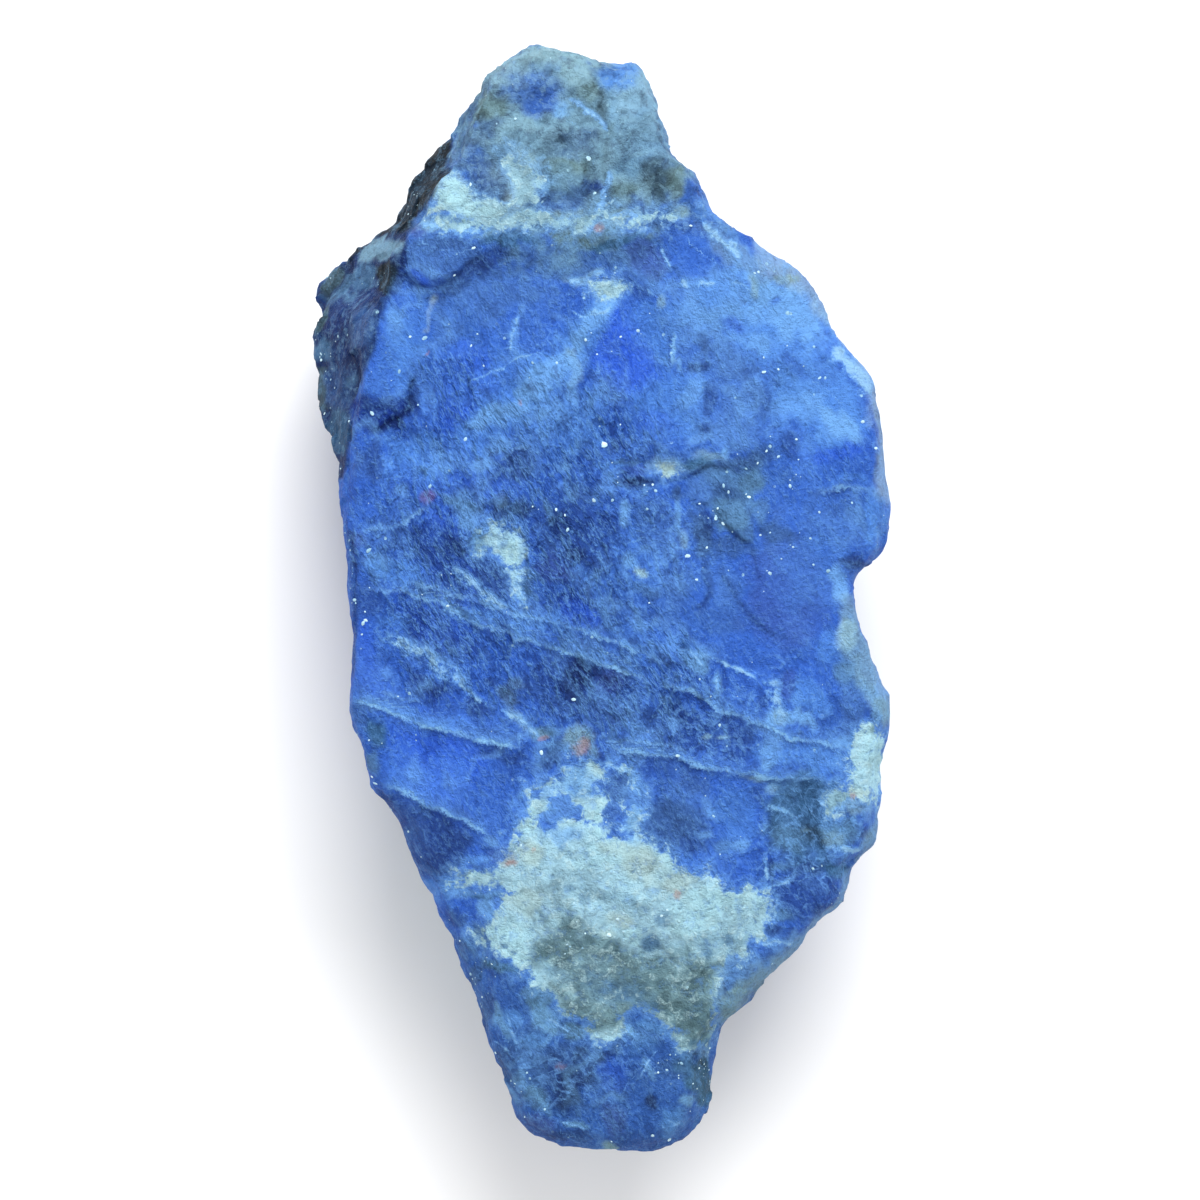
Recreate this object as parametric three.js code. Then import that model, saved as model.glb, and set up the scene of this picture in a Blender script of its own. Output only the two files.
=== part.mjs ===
// A rough piece of sodalite, as it breaks from the rock: one stone, lying on a small flat spot with its
// broad face up. Millimetres, +Z up, +Y towards the pale knob, origin on the flat spot, under the middle
// of the outline.
import * as THREE from 'three';
import { ImprovedNoise } from 'three/addons/math/ImprovedNoise.js';

// ---- driving dimensions ----
const LENGTH = 61.2;          // knob to tip
const WIDTH = 31.8;           // across the widest stretch
const FACE_HEIGHT = 14.8;     // flat spot to the middle of the broad face

const CROWN = 0.9;            // how much lower the face's two long edges lie than its middle
const RIGHT_DROP = 0.5;       // how much further its right edge drops
const TIP_DIP = 2.6;          // how far the tip dips
const KNOB_DIP = 1.5;         // how far the knob's end dips
const LIP_RISE = 0.95;        // the knob's lip over the face, at its left end
const BREAK_RISE = 0.25;      // and further right
const LONG_VEIN_RISE = 0.28;  // the small ledges along the two long veins
const LOW_VEIN_RISE = 0.3;
const CORNER_SLOPE = 0.34;    // fall of the corner facet for each millimetre below its vein
const CORNER_REACH = 4;       // width of that facet
const STRIP_RISE = 0.5;       // the smooth raised strip beside the upper left flank
const WEDGE_DROP = 0.75;      // the dark wedge at its end

const FACE_STEP = 1.0;        // size of a facet on the broad face
const WALL_STEP = 1.1;        // size of a facet round the walls
const UNDER_STEP = 1.35;      // size of a facet on the underside
const BROW_ROWS = 3;          // rows of facets from the shoulder down to the widest line
const WALL_ROWS = 8;          // rows of facets from the widest line down to the foot
const UNDER_ROWS = 8;         // rows of facets from the foot in to the flat spot
const ROUGHNESS = 0.16;       // how far the broken surface wanders
const HUMP_SIZE = 2.6;        // how far apart its humps lie
const PLATE_DEPTH = 0.55;     // how far the broken plates on the walls stand out
const UNDER_SEED = 20;        // where in the noise the underside's roughness is read
const SPOT_CLEARANCE = 0.06;  // the underside starts this far above the flat spot
const CALM_HEIGHT = 1.5;      // and is rough only this far above it
const BREAK_BLEND = 1.5;      // how far past its chord a flat break fades out
const CALM_REACH = 5;         // places to each side over which the foot evens out the outline

// ---- the outline, clockwise from the knob ----
const OUTLINE = [
  [-4.0, 30.4], [-3.0, 30.6], [-1.8, 30.2], [-0.2, 29.8], [1.8, 29.6], [2.4, 28.8], [3.1, 27.2],
  [3.7, 25.8], [3.9, 24.8], [4.3, 24.1], [5.2, 22.8], [6.2, 21.3], [7.5, 20.4], [8.5, 19.5],
  [9.7, 18.8], [10.8, 18.0], [11.3, 17.3], [12.2, 16.2], [12.6, 14.9], [13.5, 13.8], [14.1, 13.2],
  [14.7, 12.4], [15.0, 11.3], [15.2, 10.1], [15.4, 8.7], [15.4, 6.9], [15.7, 5.8], [15.7, 4.2],
  [15.5, 3.0], [14.9, 2.3], [14.3, 1.8], [13.8, 1.3], [13.9, 0.4], [14.0, -1.0], [14.6, -2.2],
  [15.0, -3.6], [15.3, -4.7], [15.7, -5.3], [15.7, -6.9], [15.4, -8.0], [15.1, -8.8], [15.2, -10.6],
  [15.1, -12.0], [14.9, -13.4], [14.3, -13.9], [13.6, -14.4], [13.5, -15.6], [13.3, -16.6],
  [12.9, -16.9], [11.8, -17.7], [10.9, -19.1], [9.8, -20.1], [8.8, -21.1], [8.0, -22.1], [6.8, -23.1],
  [6.4, -23.9], [6.3, -25.0], [6.2, -26.3], [6.0, -27.5], [5.4, -28.7], [4.6, -29.8], [3.4, -30.3],
  [1.7, -30.5], [0.0, -30.4], [-1.1, -30.2], [-2.5, -30.0], [-3.8, -29.4], [-4.5, -28.7], [-4.9, -27.2],
  [-5.5, -25.9], [-6.2, -24.6], [-6.5, -23.4], [-6.8, -22.0], [-7.5, -20.6], [-8.0, -19.3],
  [-8.2, -18.0], [-8.9, -16.9], [-9.3, -15.6], [-10.2, -14.0], [-10.8, -12.2], [-11.7, -11.2],
  [-12.4, -10.3], [-12.7, -9.5], [-13.0, -8.3], [-13.5, -7.2], [-13.8, -5.8], [-13.6, -4.7],
  [-13.5, -2.2], [-13.7, 0.1], [-13.8, 2.0], [-14.1, 3.7], [-14.1, 5.3], [-14.3, 7.2], [-14.5, 8.3],
  [-15.1, 9.6], [-15.4, 11.8], [-15.7, 13.5], [-15.8, 15.1], [-15.2, 17.2], [-14.2, 18.8],
  [-12.8, 20.1], [-11.4, 21.1], [-10.6, 22.6], [-9.7, 23.7], [-8.0, 25.5], [-7.1, 27.2], [-6.3, 28.6],
  [-5.2, 29.6],
];

// The line along the middle of the stone that the broad face's rows of facets close in on.
const SPINE = [[-1.6, 19.5], [-0.6, 8.0], [0.4, -6.0], [0.9, -22.5]];

// The flat spot that the stone rests on, clockwise, and how steeply the underside rises from each of its
// sides, from the corner of the same line to the next.
const FLAT_SPOT = [
  { corner: [-1.8, 9.6], rise: 0.32 },
  { corner: [3.4, 8.8], rise: 0.36 },
  { corner: [5.6, 4.2], rise: 0.44 },
  { corner: [5.1, -2.4], rise: 0.34 },
  { corner: [2.8, -8.2], rise: 0.29 },
  { corner: [-2.6, -9.0], rise: 0.4 },
  { corner: [-5.0, -3.0], rise: 0.37 },
  { corner: [-5.4, 3.6], rise: 0.3 },
];

// ---- the walls, clockwise ----
// at: a place on the outline. brow: how far in and how far down the shoulder bends over to the widest
// line. foot: how far in the wall's foot lies.
const WALLS = [
  { at: [-1.0, 30.2], brow: [1.2, 1.7], foot: 2.6 },
  { at: [3.7, 25.8], brow: [0.7, 1.5], foot: 2.6 },
  { at: [6.2, 21.3], brow: [1.1, 1.0], foot: 2.2 },
  { at: [9.7, 18.8], brow: [2.4, 1.2], foot: 2.6 },
  { at: [12.6, 14.9], brow: [2.2, 1.4], foot: 4.0 },
  { at: [14.7, 12.4], brow: [1.0, 1.1], foot: 3.6 },
  { at: [15.6, 5.8], brow: [0.7, 1.2], foot: 2.0 },
  { at: [14.9, 2.3], brow: [0.8, 1.5], foot: 2.2 },
  { at: [13.8, 1.3], brow: [0.5, 1.1], foot: 1.9 },
  { at: [14.6, -2.2], brow: [0.5, 1.0], foot: 2.2 },
  { at: [15.7, -6.0], brow: [0.9, 1.4], foot: 3.8 },
  { at: [15.2, -11.0], brow: [1.0, 1.6], foot: 4.8 },
  { at: [13.6, -14.6], brow: [1.2, 1.6], foot: 3.6 },
  { at: [10.2, -19.4], brow: [1.4, 1.8], foot: 3.4 },
  { at: [6.8, -23.1], brow: [1.2, 2.0], foot: 2.0 },
  { at: [6.2, -26.3], brow: [1.8, 2.6], foot: 1.6 },
  { at: [4.6, -29.8], brow: [1.4, 2.0], foot: 1.9 },
  { at: [0.0, -30.4], brow: [1.2, 1.6], foot: 2.6 },
  { at: [-4.4, -28.6], brow: [0.9, 1.4], foot: 2.2 },
  { at: [-7.0, -21.5], brow: [0.7, 1.3], foot: 2.8 },
  { at: [-9.3, -15.6], brow: [0.8, 1.4], foot: 3.4 },
  { at: [-12.4, -10.3], brow: [0.9, 1.2], foot: 2.6 },
  { at: [-13.6, -4.7], brow: [0.5, 0.9], foot: 1.8 },
  { at: [-13.6, 0.1], brow: [0.4, 0.9], foot: 2.8 },
  { at: [-13.8, 5.3], brow: [0.6, 1.4], foot: 4.2 },
  { at: [-14.5, 8.3], brow: [1.3, 3.2], foot: 3.4 },
  { at: [-15.2, 11.0], brow: [2.4, 5.6], foot: 2.2 },
  { at: [-15.8, 15.1], brow: [3.5, 7.0], foot: 1.9 },
  { at: [-15.4, 17.4], brow: [3.9, 7.4], foot: 2.4 },
  { at: [-12.8, 20.1], brow: [2.5, 6.4], foot: 2.8 },
  { at: [-10.2, 22.6], brow: [1.5, 5.0], foot: 2.6 },
  { at: [-8.6, 24.8], brow: [1.2, 4.0], foot: 2.2 },
  { at: [-7.0, 27.3], brow: [0.6, 2.4], foot: 2.0 },
  { at: [-5.2, 29.6], brow: [0.7, 1.7], foot: 2.2 },
];

// Flat breaks that cut the walls: the chord from..to at this height, leaning in by lean for each
// millimetre further down.
const BREAKS = [
  { from: [3.2, 27.0], to: [7.5, 20.4], height: 11.0, lean: 0.42 },
  { from: [8.5, 19.5], to: [13.5, 13.8], height: 11.5, lean: 0.35 },
  { from: [15.0, 11.3], to: [15.7, 4.2], height: 8.0, lean: 0.75 },
  { from: [14.0, -1.0], to: [15.3, -4.7], height: 7.0, lean: 0.5 },
  { from: [15.7, -5.3], to: [15.1, -12.0], height: 9.6, lean: 0.55 },
  { from: [14.3, -13.9], to: [7.8, -22.0], height: 9.4, lean: 0.5 },
  { from: [6.2, -26.3], to: [3.4, -30.3], height: 9.0, lean: 0.35 },
  { from: [-4.4, -28.6], to: [-7.8, -19.3], height: 9.6, lean: 0.62 },
  { from: [-8.2, -18.0], to: [-12.4, -10.3], height: 8.2, lean: 0.5 },
  { from: [-13.0, -8.3], to: [-13.5, 2.0], height: 9.4, lean: 0.34 },
  { from: [-13.5, 2.0], to: [-14.5, 8.3], height: 10.4, lean: 0.46 },
  { from: [-15.4, 11.8], to: [-15.4, 17.4], height: 6.0, lean: 0.3 },
  { from: [-14.2, 18.8], to: [-9.3, 23.9], height: 7.4, lean: 0.55 },
  { from: [-7.1, 27.2], to: [-3.0, 30.6], height: 9.6, lean: 0.4 },
];

// Scoops left by flakes that sprang off the walls: a place on the outline, its height, and the size of
// the round hollow.
const SCOOPS = [
  { at: [-13.6, -2.2], height: 6.6, radius: 4.2, depth: 0.8 },
  { at: [-13.8, 5.3], height: 9.4, radius: 2.6, depth: 0.5 },
  { at: [-10.2, -14.0], height: 7.0, radius: 3.4, depth: 0.7 },
  { at: [-6.5, -23.4], height: 8.4, radius: 2.4, depth: 0.5 },
  { at: [-15.7, 13.5], height: 4.4, radius: 2.6, depth: 0.6 },
  { at: [-10.2, 22.6], height: 7.0, radius: 2.8, depth: 0.6 },
  { at: [-1.8, 30.2], height: 9.6, radius: 2.8, depth: 0.5 },
  { at: [5.2, 22.8], height: 9.0, radius: 3.2, depth: 0.7 },
  { at: [12.6, 14.9], height: 7.2, radius: 4.0, depth: 0.8 },
  { at: [15.6, 5.8], height: 9.2, radius: 2.8, depth: 0.5 },
  { at: [15.3, -4.7], height: 6.4, radius: 3.6, depth: 0.8 },
  { at: [15.1, -12.0], height: 8.0, radius: 2.8, depth: 0.6 },
  { at: [9.6, -20.0], height: 7.4, radius: 3.8, depth: 0.8 },
  { at: [6.3, -25.0], height: 8.0, radius: 2.2, depth: 0.4 },
  { at: [0.0, -30.4], height: 8.4, radius: 2.8, depth: 0.5 },
];

// ---- the broad face ----
// Ledges, from left to right: the face stands higher on the knob's side of each line.
const LIP = [
  [-11.6, 18.8], [-10.7, 18.1], [-9.3, 17.3], [-8.0, 17.9], [-6.9, 18.6], [-4.2, 19.1], [-1.0, 19.7],
  [5.4, 19.9],
];
const LONG_VEIN = [[-8.1, -0.7], [-5.3, -1.7], [0, -3.4], [6.2, -5.9], [10.7, -7.7], [14.2, -8.5]];
const LOW_VEIN = [[-13.4, -5.5], [-8.6, -7.3], [-4.4, -8.0], [2.6, -8.6], [7.9, -9.5], [13.4, -9.9]];
const CORNER_VEIN = [[-13.0, -9.6], [-10.9, -10.6], [-8.1, -12.2], [-5.6, -13.1]];
const STRIP_END = [[-13.8, 10.4], [-12.7, 11.6], [-11.2, 11.2], [-9.8, 11.5]];

// Hollows (depth above zero) and humps (below zero) on the broad face.
const HOLLOWS = [
  { at: [6.8, 6.3], across: [3.0, 2.0], depth: 0.5 },
  { at: [2.8, 6.9], across: [2.6, 0.9], depth: 0.35 },
  { at: [6.3, 2.6], across: [1.9, 2.8], depth: 0.35 },
  { at: [8.4, 4.8], across: [1.6, 1.6], depth: -0.3 },
  { at: [-6.4, 1.9], across: [2.6, 2.2], depth: 0.3 },
  { at: [13.6, 3.2], across: [2.0, 2.2], depth: -0.3 },
  { at: [-3.0, 24.5], across: [4.0, 3.4], depth: -0.35 },
  { at: [0.6, -15.6], across: [8.0, 4.4], depth: -0.45 },
  { at: [-5.0, -17.0], across: [2.2, 2.6], depth: 0.3 },
  { at: [3.0, -26.0], across: [3.0, 3.0], depth: -0.3 },
];

// ---- helpers ----
const { smoothstep, lerp, clamp } = THREE.MathUtils;
const noise = new ImprovedNoise();

// Broken ground between about -1 and 1: humps with smaller humps on them.
function wander(x, y, z) {
  const coarse = noise.noise(x / HUMP_SIZE + 3.1, y / HUMP_SIZE + 7.7, z / HUMP_SIZE + 1.3);
  const fine = noise.noise(x * 2 / HUMP_SIZE, y * 2 / HUMP_SIZE, z * 2 / HUMP_SIZE);
  return coarse + fine * 0.5;
}

// Broken plates, 0 where one stands out and 1 where it is gone, wider than they are high.
function plates(x, y, z) {
  return smoothstep(noise.noise(x / 4.4 + 11.3, y / 4.4 + 2.9, z / 2.1 + 5.1), -0.12, 0.12);
}

// The y of a line that runs from left to right, at x.
function lineAt(line, x) {
  let i = 0;
  while (i < line.length - 2 && x > line[i + 1][0]) i += 1;
  const [x0, y0] = line[i];
  const [x1, y1] = line[i + 1];
  return lerp(y0, y1, clamp((x - x0) / (x1 - x0), 0, 1));
}

// 1 above a line, 0 below it, over a slope this wide, and fading in and out at the line's ends.
function ledge(line, x, y, slope) {
  const above = smoothstep(y - lineAt(line, x), -slope, 0);
  const first = line[0][0];
  const last = line[line.length - 1][0];
  const fade = smoothstep(x, first - 1, first + 1) * (1 - smoothstep(x, last - 2.5, last));
  return lerp(1, above, fade);
}

// ---- the height of the broad face ----
function faceHeight(x, y) {
  let z = FACE_HEIGHT;
  z -= CROWN * (x * 2 / WIDTH) ** 2;
  z -= RIGHT_DROP * smoothstep(x, 2, 15);
  z -= TIP_DIP * smoothstep(-y, 13, 32) ** 1.2;
  z -= KNOB_DIP * smoothstep(y, 22, 31);
  const lipRise = lerp(LIP_RISE, BREAK_RISE, smoothstep(x, -9.5, -3));
  z += lipRise * (ledge(LIP, x, y, 0.8) - 0.4);
  z += LONG_VEIN_RISE * (ledge(LONG_VEIN, x, y, 0.7) - 0.5);
  z += LOW_VEIN_RISE * (ledge(LOW_VEIN, x, y, 0.7) - 0.5);
  const belowCorner = (lineAt(CORNER_VEIN, x) - y) * (1 - smoothstep(x, -7.6, -5.2));
  z -= CORNER_SLOPE * clamp(belowCorner, 0, CORNER_REACH);
  const strip = smoothstep(-x, 8.9, 9.9) * smoothstep(y, 8.8, 9.6) * (1 - smoothstep(y, 16, 18));
  z += strip * (STRIP_RISE - WEDGE_DROP * (1 - ledge(STRIP_END, x, y, 1.7)));
  for (const { at, across, depth } of HOLLOWS) {
    const away = Math.hypot((x - at[0]) / across[0], (y - at[1]) / across[1]);
    z -= depth * (1 - smoothstep(away, 0.35, 1));
  }
  return z + ROUGHNESS * wander(x, y, 0);
}

// ---- the outline as a ring of places, each with the wall that belongs to it ----
function outlineRing() {
  const xs = OUTLINE.map((p) => p[0]);
  const ys = OUTLINE.map((p) => p[1]);
  const middle = [(Math.min(...xs) + Math.max(...xs)) / 2, (Math.min(...ys) + Math.max(...ys)) / 2];
  const scale = [WIDTH / (Math.max(...xs) - Math.min(...xs)), LENGTH / (Math.max(...ys) - Math.min(...ys))];
  const placed = ([x, y]) => new THREE.Vector2((x - middle[0]) * scale[0], (y - middle[1]) * scale[1]);
  const corners = OUTLINE.map(placed);
  const ring = [];
  corners.forEach((corner, i) => {
    const next = corners[(i + 1) % corners.length];
    const parts = Math.max(1, Math.round(corner.distanceTo(next) / WALL_STEP));
    for (let k = 0; k < parts; k += 1) ring.push(corner.clone().lerp(next, k / parts));
  });
  return ring;
}

const ring = outlineRing();
const COUNT = ring.length;

// How far round the ring a place is, from 0 to COUNT.
function nearest([x, y]) {
  const place = new THREE.Vector2(x, y);
  const gaps = ring.map((p) => p.distanceTo(place));
  return gaps.indexOf(Math.min(...gaps));
}

const wallStops = WALLS.map(({ at, brow, foot }) => ({ stop: nearest(at), sizes: [...brow, foot] }))
  .sort((a, b) => a.stop - b.stop);

// How far in and down the brow bends, and how far in the foot lies, at one place of the ring: between
// the two nearest walls of the list.
function wallAt(i) {
  let k = wallStops.findIndex((wall) => wall.stop > i);
  if (k < 0) k = wallStops.length;
  const before = wallStops[(k - 1 + wallStops.length) % wallStops.length];
  const after = wallStops[k % wallStops.length];
  const span = (after.stop - before.stop + COUNT) % COUNT;
  const share = ((i - before.stop + COUNT) % COUNT) / span;
  return before.sizes.map((size, n) => lerp(size, after.sizes[n], share));
}

function spineAt(p) {
  const points = SPINE.map(([x, y]) => new THREE.Vector2(x, y));
  const y = clamp(p.y, points[points.length - 1].y, points[0].y);
  let i = 0;
  while (i < points.length - 2 && y < points[i + 1].y) i += 1;
  return points[i].clone().lerp(points[i + 1], (points[i].y - y) / (points[i].y - points[i + 1].y));
}

const spotSides = FLAT_SPOT.map(({ corner, rise }, i) => {
  const start = new THREE.Vector2(...corner);
  const next = new THREE.Vector2(...FLAT_SPOT[(i + 1) % FLAT_SPOT.length].corner);
  const along = next.sub(start).normalize();
  return { start, rise, outward: new THREE.Vector2(-along.y, along.x) };
});

// The underside rises in flat facets from the sides of the flat spot.
function underHeight(x, y) {
  const place = new THREE.Vector2(x, y);
  const heights = spotSides.map(({ start, rise, outward }) => rise * place.clone().sub(start).dot(outward));
  return Math.max(0, ...heights);
}

// The edge of the flat spot on the way from its middle to a place on the ring.
function spotTowards(p) {
  const ray = p.clone().normalize();
  const reaches = spotSides
    .filter(({ outward }) => ray.dot(outward) > 0)
    .map(({ start, outward }) => start.dot(outward) / ray.dot(outward));
  return ray.multiplyScalar(Math.min(...reaches));
}

// Pushes a point of the wall in behind every flat break that passes it.
function cutByBreaks(point) {
  for (const { from, to, height, lean } of BREAKS) {
    const start = new THREE.Vector2(...from);
    const chord = new THREE.Vector2(...to).sub(start);
    const length = chord.length();
    const along = chord.divideScalar(length);
    const inward = new THREE.Vector2(along.y, -along.x);
    const offset = new THREE.Vector2(point.x, point.y).sub(start);
    const beside = offset.dot(along);
    const near = smoothstep(beside, -BREAK_BLEND, 0) * (1 - smoothstep(beside, length, length + BREAK_BLEND));
    const short = (lean * (height - point.z) - offset.dot(inward)) * near;
    if (point.z < height && short > 0) {
      point.x += inward.x * short;
      point.y += inward.y * short;
    }
  }
  return point;
}

// ---- the lines that the rows of facets run between ----
const up = (p, z) => new THREE.Vector3(p.x, p.y, z);

const inwards = ring.map((p) => spineAt(p).sub(p).normalize());

// The outline's nicks don't reach down to the foot: there it runs evenly past them.
function calmed(i) {
  const mean = new THREE.Vector2();
  for (let k = -CALM_REACH; k <= CALM_REACH; k += 1) mean.add(ring[(i + k + COUNT) % COUNT]);
  return mean.divideScalar(2 * CALM_REACH + 1);
}

const sizes = ring.map((p, i) => wallAt(i));
const shoulder = ring.map((p, i) => p.clone().addScaledVector(inwards[i], sizes[i][0]));
const shoulderEdge = shoulder.map((p) => up(p, faceHeight(p.x, p.y)));
const girdle = ring.map((p, i) => up(p, shoulderEdge[i].z - sizes[i][1]));
const foot = ring.map((p, i) => {
  const point = up(calmed(i).addScaledVector(inwards[i], sizes[i][2]), 0);
  point.z = underHeight(point.x, point.y);
  cutByBreaks(point);
  point.z = underHeight(point.x, point.y);
  return point;
});
const spotEdge = ring.map((p) => up(spotTowards(p), 0));

const scoops = SCOOPS.map(({ at, height, radius, depth }) => {
  const i = nearest(at);
  const share = clamp((girdle[i].z - height) / (girdle[i].z - foot[i].z), 0, 1);
  const centre = girdle[i].clone().lerp(foot[i], share);
  centre.addScaledVector(up(inwards[i], 0), depth - radius);
  return { centre, radius };
});

function scooped(point) {
  for (const { centre, radius } of scoops) {
    const out = point.clone().sub(centre);
    if (out.length() < radius) point.copy(out.setLength(radius).add(centre));
  }
  return point;
}

// ---- the rows of facets: closed rings of points, each with its place round the stone ----
const everyPoint = (points) => points.map((point, i) => ({ turn: i / COUNT, point }));

// A row with fewer points, spread evenly along a ring.
function spread(points, step) {
  const runs = [0];
  points.forEach((p, i) => runs.push(runs[i] + p.distanceTo(points[(i + 1) % points.length])));
  const total = runs[points.length];
  const count = Math.round(total / step);
  const row = [];
  let i = 0;
  for (let k = 0; k < count; k += 1) {
    const run = total * k / count;
    while (runs[i + 1] < run) i += 1;
    const share = (run - runs[i]) / (runs[i + 1] - runs[i]);
    row.push({ turn: (i + share) / COUNT, point: points[i].clone().lerp(points[(i + 1) % COUNT], share) });
  }
  return row;
}

function faceRows() {
  const rows = Math.round(WIDTH / 2 / FACE_STEP);
  const made = [];
  for (let k = rows; k >= 1; k -= 1) {
    const share = (k - 0.45) / rows;
    const row = spread(shoulder.map((p) => up(p.clone().lerp(spineAt(p), share), 0)), FACE_STEP);
    row.forEach(({ point }) => point.setZ(faceHeight(point.x, point.y)));
    made.push(row);
  }
  made.push(everyPoint(shoulderEdge));
  return made;
}

function browRows() {
  const made = [];
  for (let k = 1; k <= BROW_ROWS; k += 1) {
    const share = k / (BROW_ROWS + 1);
    const row = shoulderEdge.map((edge, i) => {
      const point = edge.clone().lerp(girdle[i], share);
      const steep = smoothstep(sizes[i][1], 2, 5) * Math.sin(Math.PI * share);
      const gone = PLATE_DEPTH * plates(point.x, point.y, point.z);
      point.addScaledVector(up(inwards[i], 0), steep * (gone + ROUGHNESS * wander(point.x, point.y, point.z)));
      point.z += 0.15 * Math.sin(Math.PI * share);
      return point;
    });
    made.push(everyPoint(row));
  }
  made.push(everyPoint(girdle));
  return made;
}

function wallRows() {
  const made = [];
  for (let k = 1; k <= WALL_ROWS; k += 1) {
    const share = k / WALL_ROWS;
    const row = girdle.map((edge, i) => {
      const point = edge.clone().lerp(foot[i], share);
      const belly = sizes[i][2] * (share - share ** 1.8);
      const broken = ROUGHNESS * (1 + wander(point.x, point.y, point.z));
      const gone = PLATE_DEPTH * plates(point.x, point.y, point.z);
      const inset = Math.min(1, share * 3) * (broken + gone) - belly;
      point.addScaledVector(up(inwards[i], 0), inset);
      return scooped(cutByBreaks(point));
    });
    made.push(everyPoint(row));
  }
  return made;
}

function underRows(wallFoot) {
  const made = [];
  for (let k = 1; k < UNDER_ROWS; k += 1) {
    const share = k / UNDER_ROWS;
    const ringHere = wallFoot.map(({ point }, i) => point.clone().lerp(spotEdge[i], share));
    const row = spread(ringHere, UNDER_STEP);
    row.forEach(({ point }) => {
      const facet = underHeight(point.x, point.y);
      const gone = PLATE_DEPTH * plates(point.x, point.y, UNDER_SEED);
      const broken = 2 * ROUGHNESS * (1 + wander(point.x, point.y, UNDER_SEED)) + gone;
      point.z = facet + SPOT_CLEARANCE + broken * Math.min(1, facet / CALM_HEIGHT) * (1 - share);
    });
    made.push(row);
  }
  const corners = spotSides.map(({ start }) => {
    const turns = ring.map((p) => start.clone().normalize().dot(p.clone().normalize()));
    return { turn: turns.indexOf(Math.max(...turns)) / COUNT, point: up(start, 0) };
  });
  made.push(corners.sort((a, b) => a.turn - b.turn));
  return made;
}

// ---- joining the rows into one closed skin ----
// Two neighbouring rows are zipped together by their places round the stone.
function zip(inner, outer, triangles) {
  let i = 0;
  let o = 0;
  while (i < inner.length || o < outer.length) {
    const a = inner[i % inner.length].index;
    const b = outer[o % outer.length].index;
    const nextInner = i + 1 < inner.length ? inner[i + 1].turn : inner[0].turn + 1;
    const nextOuter = o + 1 < outer.length ? outer[o + 1].turn : outer[0].turn + 1;
    if (o >= outer.length || (i < inner.length && nextInner < nextOuter)) {
      triangles.push(a, inner[(i + 1) % inner.length].index, b);
      i += 1;
    } else {
      triangles.push(a, outer[(o + 1) % outer.length].index, b);
      o += 1;
    }
  }
}

// The narrow strip left along the spine: its two long sides are zipped from its far end to its near one.
function closeStrip(row, triangles) {
  const count = row.length;
  const ys = row.map(({ point }) => point.y);
  const top = ys.indexOf(Math.max(...ys));
  let right = top;
  let left = top;
  for (let made = 0; made < count - 2; made += 1) {
    const nextRight = (right + 1) % count;
    const nextLeft = (left - 1 + count) % count;
    if (made === 0) {
      triangles.push(row[top].index, row[nextLeft].index, row[nextRight].index);
      left = nextLeft;
      right = nextRight;
    } else if (ys[nextRight] > ys[nextLeft]) {
      triangles.push(row[left].index, row[nextRight].index, row[right].index);
      right = nextRight;
    } else {
      triangles.push(row[left].index, row[nextLeft].index, row[right].index);
      left = nextLeft;
    }
  }
}

function skin(rows) {
  const positions = [];
  const triangles = [];
  const add = (point) => positions.push(...point.toArray()) / 3 - 1;
  const numbered = rows.map((row) => row.map(({ turn, point }) => ({ turn, point, index: add(point) })));
  closeStrip(numbered[0], triangles);
  for (let r = 0; r < numbered.length - 1; r += 1) zip(numbered[r], numbered[r + 1], triangles);
  const corners = numbered[numbered.length - 1];
  const middle = add(new THREE.Vector3(0, 0, 0));
  corners.forEach(({ index }, i) => triangles.push(middle, index, corners[(i + 1) % corners.length].index));

  const geometry = new THREE.BufferGeometry();
  geometry.setAttribute('position', new THREE.Float32BufferAttribute(positions, 3));
  geometry.setIndex(triangles);
  return geometry;
}

const walls = wallRows();
const underside = underRows(walls[walls.length - 1]);
const stoneBlue = new THREE.MeshStandardMaterial({ color: 0x3e6cc5, roughness: 0.58, metalness: 0 });
const stone = new THREE.Mesh(skin([...faceRows(), ...browRows(), ...walls, ...underside]), stoneBlue);
stone.name = 'sodalite_stone';

const part = new THREE.Group();
part.add(stone);

export default part;
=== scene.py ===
import itertools
import math

import bmesh
import bpy
import numpy as np
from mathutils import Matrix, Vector


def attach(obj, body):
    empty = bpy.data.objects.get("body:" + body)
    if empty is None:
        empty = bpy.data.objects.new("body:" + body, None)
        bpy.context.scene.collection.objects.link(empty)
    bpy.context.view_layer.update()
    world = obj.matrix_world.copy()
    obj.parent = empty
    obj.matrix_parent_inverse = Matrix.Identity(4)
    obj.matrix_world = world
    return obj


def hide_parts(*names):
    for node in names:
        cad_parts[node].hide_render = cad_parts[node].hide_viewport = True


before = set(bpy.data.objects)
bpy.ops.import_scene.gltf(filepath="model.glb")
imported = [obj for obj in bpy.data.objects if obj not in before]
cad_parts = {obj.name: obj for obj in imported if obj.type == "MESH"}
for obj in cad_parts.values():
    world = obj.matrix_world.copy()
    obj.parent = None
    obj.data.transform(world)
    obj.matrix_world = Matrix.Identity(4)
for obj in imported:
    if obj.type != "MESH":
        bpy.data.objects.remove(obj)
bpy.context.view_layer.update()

# A rough piece of sodalite: deep blue and silky where it broke, with thin pale veins, a grey-white granular
# knob and a lace of white and grey-olive mineral across its lower half. X runs across the broad face and Y
# towards the knob. Places and sizes are in millimetres, and MM brings them to metres where they are used.
MM = 0.001
NODE = "sodalite_stone"
scene = bpy.context.scene

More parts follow.
